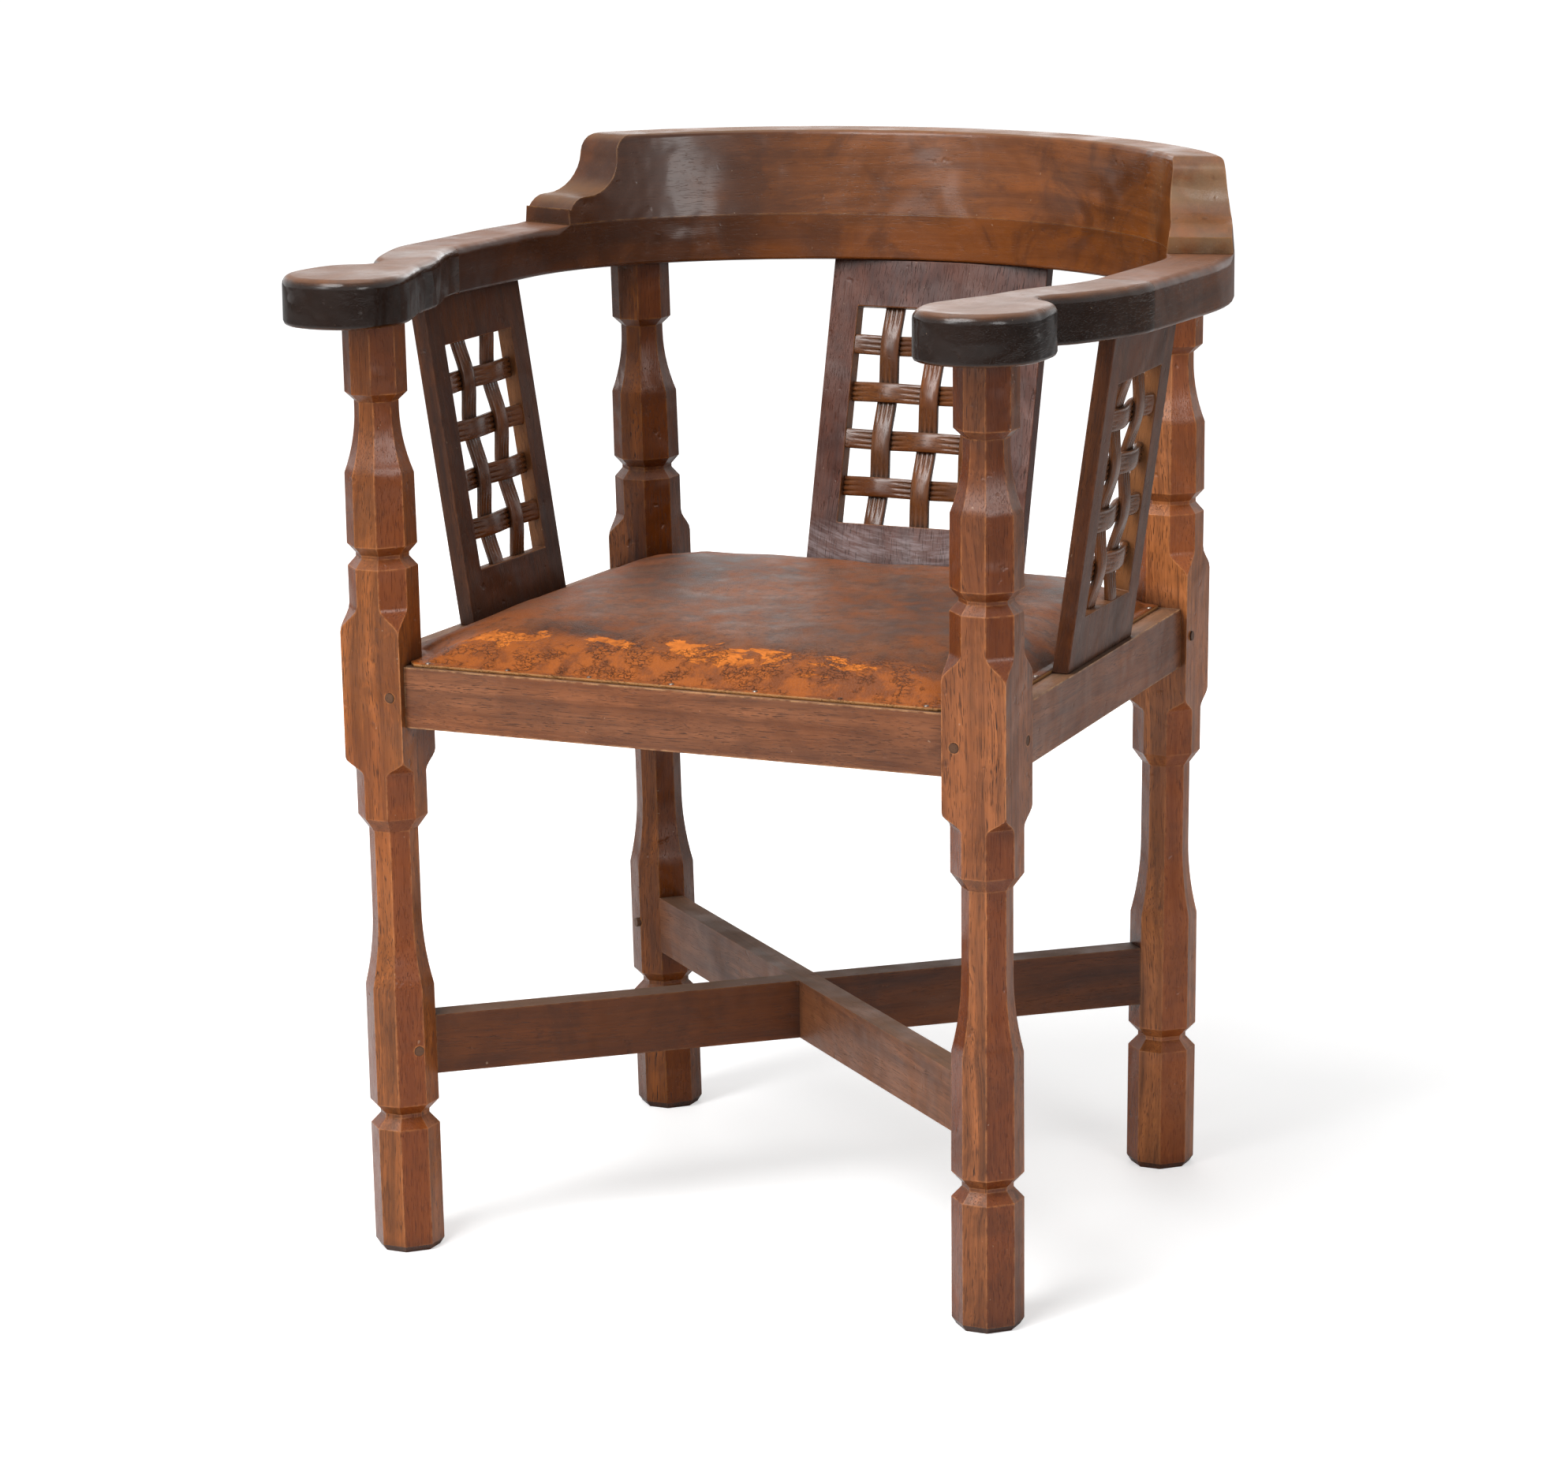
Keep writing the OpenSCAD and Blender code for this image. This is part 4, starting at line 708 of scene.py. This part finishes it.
# Surface of the seat: ring f of the outline shrinks to the middle and turns into a rounded square on its way.
# It rises steeply as a roll, then levels into the crown, with a slow hollow and small pulls that fade at the
# edge.
def seatSurface(f, outline, halfX, halfY):
    f = f[:, None, None]
    angle, power = np.arctan2(outline[:, 1], outline[:, 0]), seat["squareness"]
    radius = (np.abs(np.cos(angle) / halfX) ** power + np.abs(np.sin(angle) / halfY) ** power) ** (-1 / power)
    roundLoop = np.stack([np.cos(angle), np.sin(angle)], axis=1) * radius[:, None]
    t = np.clip(f / seat["roundBy"], 0, 1)
    plan = (outline * (1 - t) + roundLoop * t) * (1 - f)
    x, y, depth = plan[..., 0], plan[..., 1], f[..., 0]
    inner = np.clip((depth - seat["flange"]) / (1 - seat["flange"]), 0, 1)
    rise = seat["crown"] * (1 - (1 - inner) ** seat["roll"]) + seat["lift"] * inner
    middle, wide, deep, low = seat["hollow"]
    uneven = -low * np.exp(-((x / wide) ** 2 + ((y - middle) / deep) ** 2))
    uneven = uneven + seat["pulls"][0] * np.sin(31 * x + 9 * y + 0.6) * np.sin(23 * y - 12 * x + 1.7)
    uneven = uneven + seat["pulls"][1] * np.sin(83 * x - 31 * y) * np.sin(71 * y + 22 * x + 0.4)
    rise = rise + uneven * np.clip((inner - 0.02) / 0.12, 0, 1)
    return np.stack([x + chair["planX"], y + chair["planY"], rise], axis=-1)


def ringPiece(name, rings, material):
    # closed mesh through rings of equal length, capped at both ends
    mesh = bpy.data.meshes.new(name)
    mesh.from_pydata(rings.reshape(-1, 3).tolist(), [], tubeFaces(*rings.shape[:2]))
    smooth(mesh)
    mesh.validate()
    return pieceFromMesh(name, mesh, material)


# Each pair holds the two places between which a change of the leather runs: x across the chair, y from front
# to back, rise above the rails. rub: place of the rubbed spot.
leatherLook = {"deep": "30180a", "brown": "703e1a", "red": "88471a", "grey": "50382a", "worn": "d0762e",
               "rust": "9a521c", "pale": "a87c4e", "crack": "30180b", "rimY": (0.06, 0.17),
               "rimX": (-0.12, -0.20), "frontY": (-0.166, -0.184), "wornRise": (0.010, 0.017),
               "rustRise": (0.0255, 0.014), "wornX": (0.16, -0.10), "cutRise": (0.0025, 0.0020),
               "rub": (0.045, 0.155, 0.463), "rubReach": (0.05, 0.012), "rough": 0.52, "mottleRough": 0.5,
               "relief": 0.0007}


def agedColour(tree, place, x, y, mottle, fine):
    # cloudy browns under dark and red mottling, redder at the back and the left, with fine dark cracks
    look = leatherLook
    colour = blendColour(tree, ramp(tree, noise(tree, place, 8, 5, 0.62), 0.36, 0.60), fromHex(look["deep"]),
                         fromHex(look["brown"]))
    colour = tint(tree, colour, ramp(tree, noise(tree, place, 110, 6, 0.75), 0.48, 0.58), 0.6, look["deep"])
    colour = tint(tree, colour, ramp(tree, mottle, 0.42, 0.68), 0.5, look["red"])
    rim = calc(tree, "MAXIMUM", ramp(tree, y, *look["rimY"]), ramp(tree, x, *look["rimX"]))
    colour = tint(tree, colour, product(tree, rim, ramp(tree, mottle, 0.3, 0.6)), 0.75, look["red"])
    colour = tint(tree, colour, ramp(tree, noise(tree, place, 14, 4), 0.46, 0.62), 0.25, look["grey"])
    return tint(tree, colour, ramp(tree, fine, 0.56, 0.68), 0.45, look["crack"])


def wornFront(tree, colour, place, x, rise, front, mottle):
    # ragged islands of bare orange hide over a rust band at the front; a spot near the back is only rubbed
    look = leatherLook
    upper = product(tree, front, ramp(tree, rise, *look["wornRise"]))
    lower = product(tree, front, ramp(tree, rise, *look["rustRise"]))
    colour = tint(tree, colour, lower, 0.65, look["red"])
    colour = tint(tree, colour, product(tree, lower, ramp(tree, mottle, 0.38, 0.56)), 0.9, look["rust"])
    islands = noise(tree, stretched(tree, place, (0.8, 1.3, 1.6)), 30, 6, 0.66, 0.6)
    leftward = weighted(tree, 0.5, (ramp(tree, x, *look["wornX"]), 0.6))
    wornAt = weighted(tree, islands, (product(tree, upper, 0.11), leftward))
    worn = product(tree, ramp(tree, wornAt, 0.612, 0.636), ramp(tree, upper, 0.05, 0.4))
    spot = addNode(tree, "ShaderNodeVectorMath", {0: place, 1: look["rub"]}, operation="DISTANCE")
    rub = product(tree, ramp(tree, spot.outputs["Value"], *look["rubReach"]),
                  ramp(tree, islands, 0.44, 0.54), 0.55)
    bare = blendColour(tree, ramp(tree, mottle, 0.32, 0.6), fromHex(look["rust"]), fromHex(look["worn"]))
    return blendColour(tree, calc(tree, "MAXIMUM", worn, rub), colour, bare), worn, lower


def flakingMask(tree, place, front, mottle, fine):
    # dark lines between flakes at the front: edges of cells, bent by two noises and broken up by a third
    bend = addNode(tree, "ShaderNodeCombineXYZ", {0: product(tree, mottle, 0.02),
                                                  2: product(tree, fine, 0.010)}).outputs[0]
    bent = addNode(tree, "ShaderNodeVectorMath", {0: place, 1: bend}, operation="ADD").outputs[0]
    flakes = crackle(tree, stretched(tree, bent, (0.6, 1.0, 1.7)), 260)
    return product(tree, front, ramp(tree, flakes, 0.10, 0.02),
                   ramp(tree, noise(tree, place, 60, 4, 0.6), 0.44, 0.58))


def makeLeather():
    look = leatherLook
    material, tree, shader = newMaterial("agedLeather", IOR=1.27)
    place = addNode(tree, "ShaderNodeTexCoord").outputs["Object"]
    x, y, z = splitVector(tree, place)
    rise, front = calc(tree, "SUBTRACT", z, chair["railTop"]), ramp(tree, y, *look["frontY"])
    mottle, fine = noise(tree, place, 46, 5, 0.65), noise(tree, place, 240, 3, 0.6)
    colour = agedColour(tree, place, x, y, mottle, fine)
    colour, worn, lower = wornFront(tree, colour, place, x, rise, front, mottle)
    flaking = flakingMask(tree, place, front, mottle, fine)
    colour = tint(tree, colour, flaking, 0.75, look["crack"])
    # pale cut edge on the rails
    colour = tint(tree, colour, ramp(tree, rise, *look["cutRise"]), 0.75, look["pale"])
    tree.links.new(colour, shader.inputs["Base Color"])
    rough = weighted(tree, look["rough"] - 0.5 * look["mottleRough"], (mottle, look["mottleRough"]),
                     (product(tree, lower, flaking), -0.15), (worn, 0.25))
    tree.links.new(rough, shader.inputs["Roughness"])
    height = weighted(tree, 0.0, (ramp(tree, crackle(tree, place, 420), 0.0, 0.12), 0.25), (mottle, 0.8),
                      (worn, -0.5), (flaking, -1.4))
    bump = addNode(tree, "ShaderNodeBump", {"Height": height, "Distance": look["relief"], "Strength": 0.8})
    tree.links.new(bump.outputs[0], shader.inputs["Normal"])
    return material


def makeCloth(name, dark, light, scale, join):
    # plain woven cloth: two crossed waves make threads, noise makes them uneven
    material, tree, shader = newMaterial(name, Roughness=0.9)
    place = addNode(tree, "ShaderNodeTexCoord").outputs["Object"]
    waves = [addNode(tree, "ShaderNodeTexWave", {"Vector": place, "Scale": scale, "Distortion": 0.6,
                                                 "Detail": 2.0}, wave_type="BANDS",
                     bands_direction=axis).outputs["Fac"] for axis in ("X", "Y")]
    threads = calc(tree, join, *waves)
    shown = product(tree, threads, ramp(tree, noise(tree, place, 60, 4), 0.3, 0.7, 0.5, 1.0))
    tree.links.new(blendColour(tree, shown, fromHex(dark), fromHex(light)), shader.inputs["Base Color"])
    bump = addNode(tree, "ShaderNodeBump", {"Height": threads, "Distance": 0.0006, "Strength": 0.8})
    tree.links.new(bump.outputs[0], shader.inputs["Normal"])
    return material


def makeSteel():
    material, tree, shader = newMaterial("nailSteel", Metallic=1.0)
    rust = noise(tree, addNode(tree, "ShaderNodeTexCoord").outputs["Object"], 300, 4)
    tree.links.new(blendColour(tree, ramp(tree, rust, 0.4, 0.6), fromHex("8a8078"), fromHex("4a3428")),
                   shader.inputs["Base Color"])
    tree.links.new(ramp(tree, rust, 0.3, 0.7, 0.35, 0.7), shader.inputs["Roughness"])
    return material


leather, steel = makeLeather(), makeSteel()
jute = makeCloth("juteStrap", "6b5436", "a88a5c", 260, "MULTIPLY")
hessian = makeCloth("hessian", "5a482e", "93794e", 170, "MAXIMUM")


def makeSeat():
    flange, top = seat["flange"], chair["railTop"]
    sides = seatOutline(seat["step"])
    inwards = np.linspace(0, 1, seat["rings"]) ** seat["crowding"] * seat["reach"]
    depth = np.concatenate([[0, flange / 2], flange + (1 - flange) * inwards])
    outer = seatSurface(depth, *sides)
    inner = outer[::-1].copy()
    outer[..., 2] += top + seat["leather"]
    inner[..., 2] += top + seat["skin"]
    cover = ringPiece("seatCover", np.concatenate([inner, outer]), leather)
    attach(cover, "root")
    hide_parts("seat_leather")
    fill = seatSurface(depth[depth > flange + seat["fillFrom"]], *sides)
    fill[..., 2] = np.maximum(fill[..., 2] - seat["fillDrop"], seat["fillLeast"]) + top
    base = fill[:1].copy()
    base[..., 2] = top + seat["base"]
    filling = ringPiece("seatFilling", np.concatenate([base, fill]), hessian)
    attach(filling, "root")
    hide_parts("seat_stuffing")
    print("seat made:", len(cover.data.polygons), "faces")


makeSeat()

# CAD nodes that stay as they are
keptNodes = {"cross_webbing": jute, "long_webbing": jute, "webbing_tacks": steel, "crossing_nails": steel,
             "leather_nails": steel}
for nodeName, material in keptNodes.items():
    node = cadNodes[nodeName]
    if not node.data.materials:
        node.data.materials.append(None)
    for slot in node.material_slots:
        slot.material = material

view = {"azimuth": 25.196, "elevation": 12.994, "roll": -0.976, "distance": 3.7262,
        "target": (-0.01832, -0.01715, 0.36074), "lens": 116.43, "sensor": 36.0, "clipEnd": 50}


def makeCamera():
    az, el, roll = (math.radians(view[k]) for k in ("azimuth", "elevation", "roll"))
    out = Vector((math.sin(az) * math.cos(el), -math.cos(az) * math.cos(el), math.sin(el)))
    right = (-out).cross(Vector((0, 0, 1))).normalized()
    up = right.cross(-out)
    rolledRight = right * math.cos(roll) + up * math.sin(roll)
    rolledUp = -right * math.sin(roll) + up * math.cos(roll)
    data = bpy.data.cameras.new("camera")
    data.lens, data.sensor_width, data.sensor_fit = view["lens"], view["sensor"], "HORIZONTAL"
    data.clip_end = view["clipEnd"]
    camera = bpy.data.objects.new("camera", data)
    turn = Matrix((rolledRight, rolledUp, out)).transposed().to_4x4()
    camera.matrix_world = Matrix.Translation(Vector(view["target"]) + out * view["distance"]) @ turn
    bpy.context.scene.collection.objects.link(camera)
    bpy.context.scene.camera = camera


makeCamera()

# Each lamp: name, place, size and watts. The world lights weakly but shows white, and so does the far floor.
studio = {
    "lamps": [("keyLamp", (-0.55, -2.1, 2.9), 1.9, 102), ("frontLamp", (-1.3, -3.2, 1.9), 1.1, 24),
              ("fillLamp", (2.6, -1.6, 1.4), 1.2, 20), ("topLamp", (-0.3, 0.2, 2.8), 2.0, 20),
              ("backLamp", (-0.9, 2.4, 1.6), 1.6, 12)],
    "aim": (0, 0, 0.4), "world": 0.16, "floor": 0.84, "floorHalf": 15, "floorGlow": 0.5, "farGlow": 0.95,
    "glowFrom": 0.6, "glowTo": 1.9,
}


def makeLamps():
    for name, place, size, watts in studio["lamps"]:
        data = bpy.data.lights.new(name, "AREA")
        data.shape, data.size, data.energy = "DISK", size, watts
        lamp = bpy.data.objects.new(name, data)
        lamp.location = place
        lamp.rotation_euler = (Vector(studio["aim"]) - Vector(place)).to_track_quat("-Z", "Y").to_euler()
        bpy.context.scene.collection.objects.link(lamp)


def makeWorld():
    world = bpy.data.worlds.new("studioWorld")
    bpy.context.scene.world = world
    world.use_nodes = True
    tree = world.node_tree
    tree.nodes.clear()
    rays = addNode(tree, "ShaderNodeLightPath").outputs
    seen = calc(tree, "MAXIMUM", rays["Is Camera Ray"],
                calc(tree, "MAXIMUM", rays["Is Glossy Ray"], rays["Is Transmission Ray"]))
    strength = weighted(tree, studio["world"], (seen, 1.0 - studio["world"]))
    glow = addNode(tree, "ShaderNodeBackground", {"Color": (1, 1, 1, 1), "Strength": strength}).outputs[0]
    addNode(tree, "ShaderNodeOutputWorld", {"Surface": glow})


def makeFloor():
    h = studio["floorHalf"]
    mesh = bpy.data.meshes.new("studioFloor")
    mesh.from_pydata([(-h, -h, 0), (h, -h, 0), (h, h, 0), (-h, h, 0)], [], [(0, 1, 2, 3)])
    material = bpy.data.materials.new("studioFloor")
    material.use_nodes = True
    tree = material.node_tree
    tree.nodes.clear()
    # far from the chair, where the lamps fade, the floor glows so that it stays as white as the backdrop
    seen = addNode(tree, "ShaderNodeLightPath").outputs["Is Camera Ray"]
    away = addNode(tree, "ShaderNodeVectorMath", {0: addNode(tree, "ShaderNodeTexCoord").outputs["Object"]},
                   operation="LENGTH").outputs["Value"]
    glow = ramp(tree, away, studio["glowFrom"], studio["glowTo"], studio["floorGlow"], studio["farGlow"])
    shade = addNode(tree, "ShaderNodeBsdfDiffuse", {"Color": [studio["floor"]] * 3 + [1]}).outputs[0]
    lift = addNode(tree, "ShaderNodeEmission", {"Color": (1, 1, 1, 1),
                                                "Strength": product(tree, seen, glow)}).outputs[0]
    surface = addNode(tree, "ShaderNodeAddShader", {0: shade, 1: lift}).outputs[0]
    addNode(tree, "ShaderNodeOutputMaterial", {"Surface": surface})
    floor = pieceFromMesh("studioFloor", mesh, material)


makeLamps()
makeWorld()
makeFloor()
bpy.context.scene.view_settings.view_transform = "Standard"
print("camera and studio made")
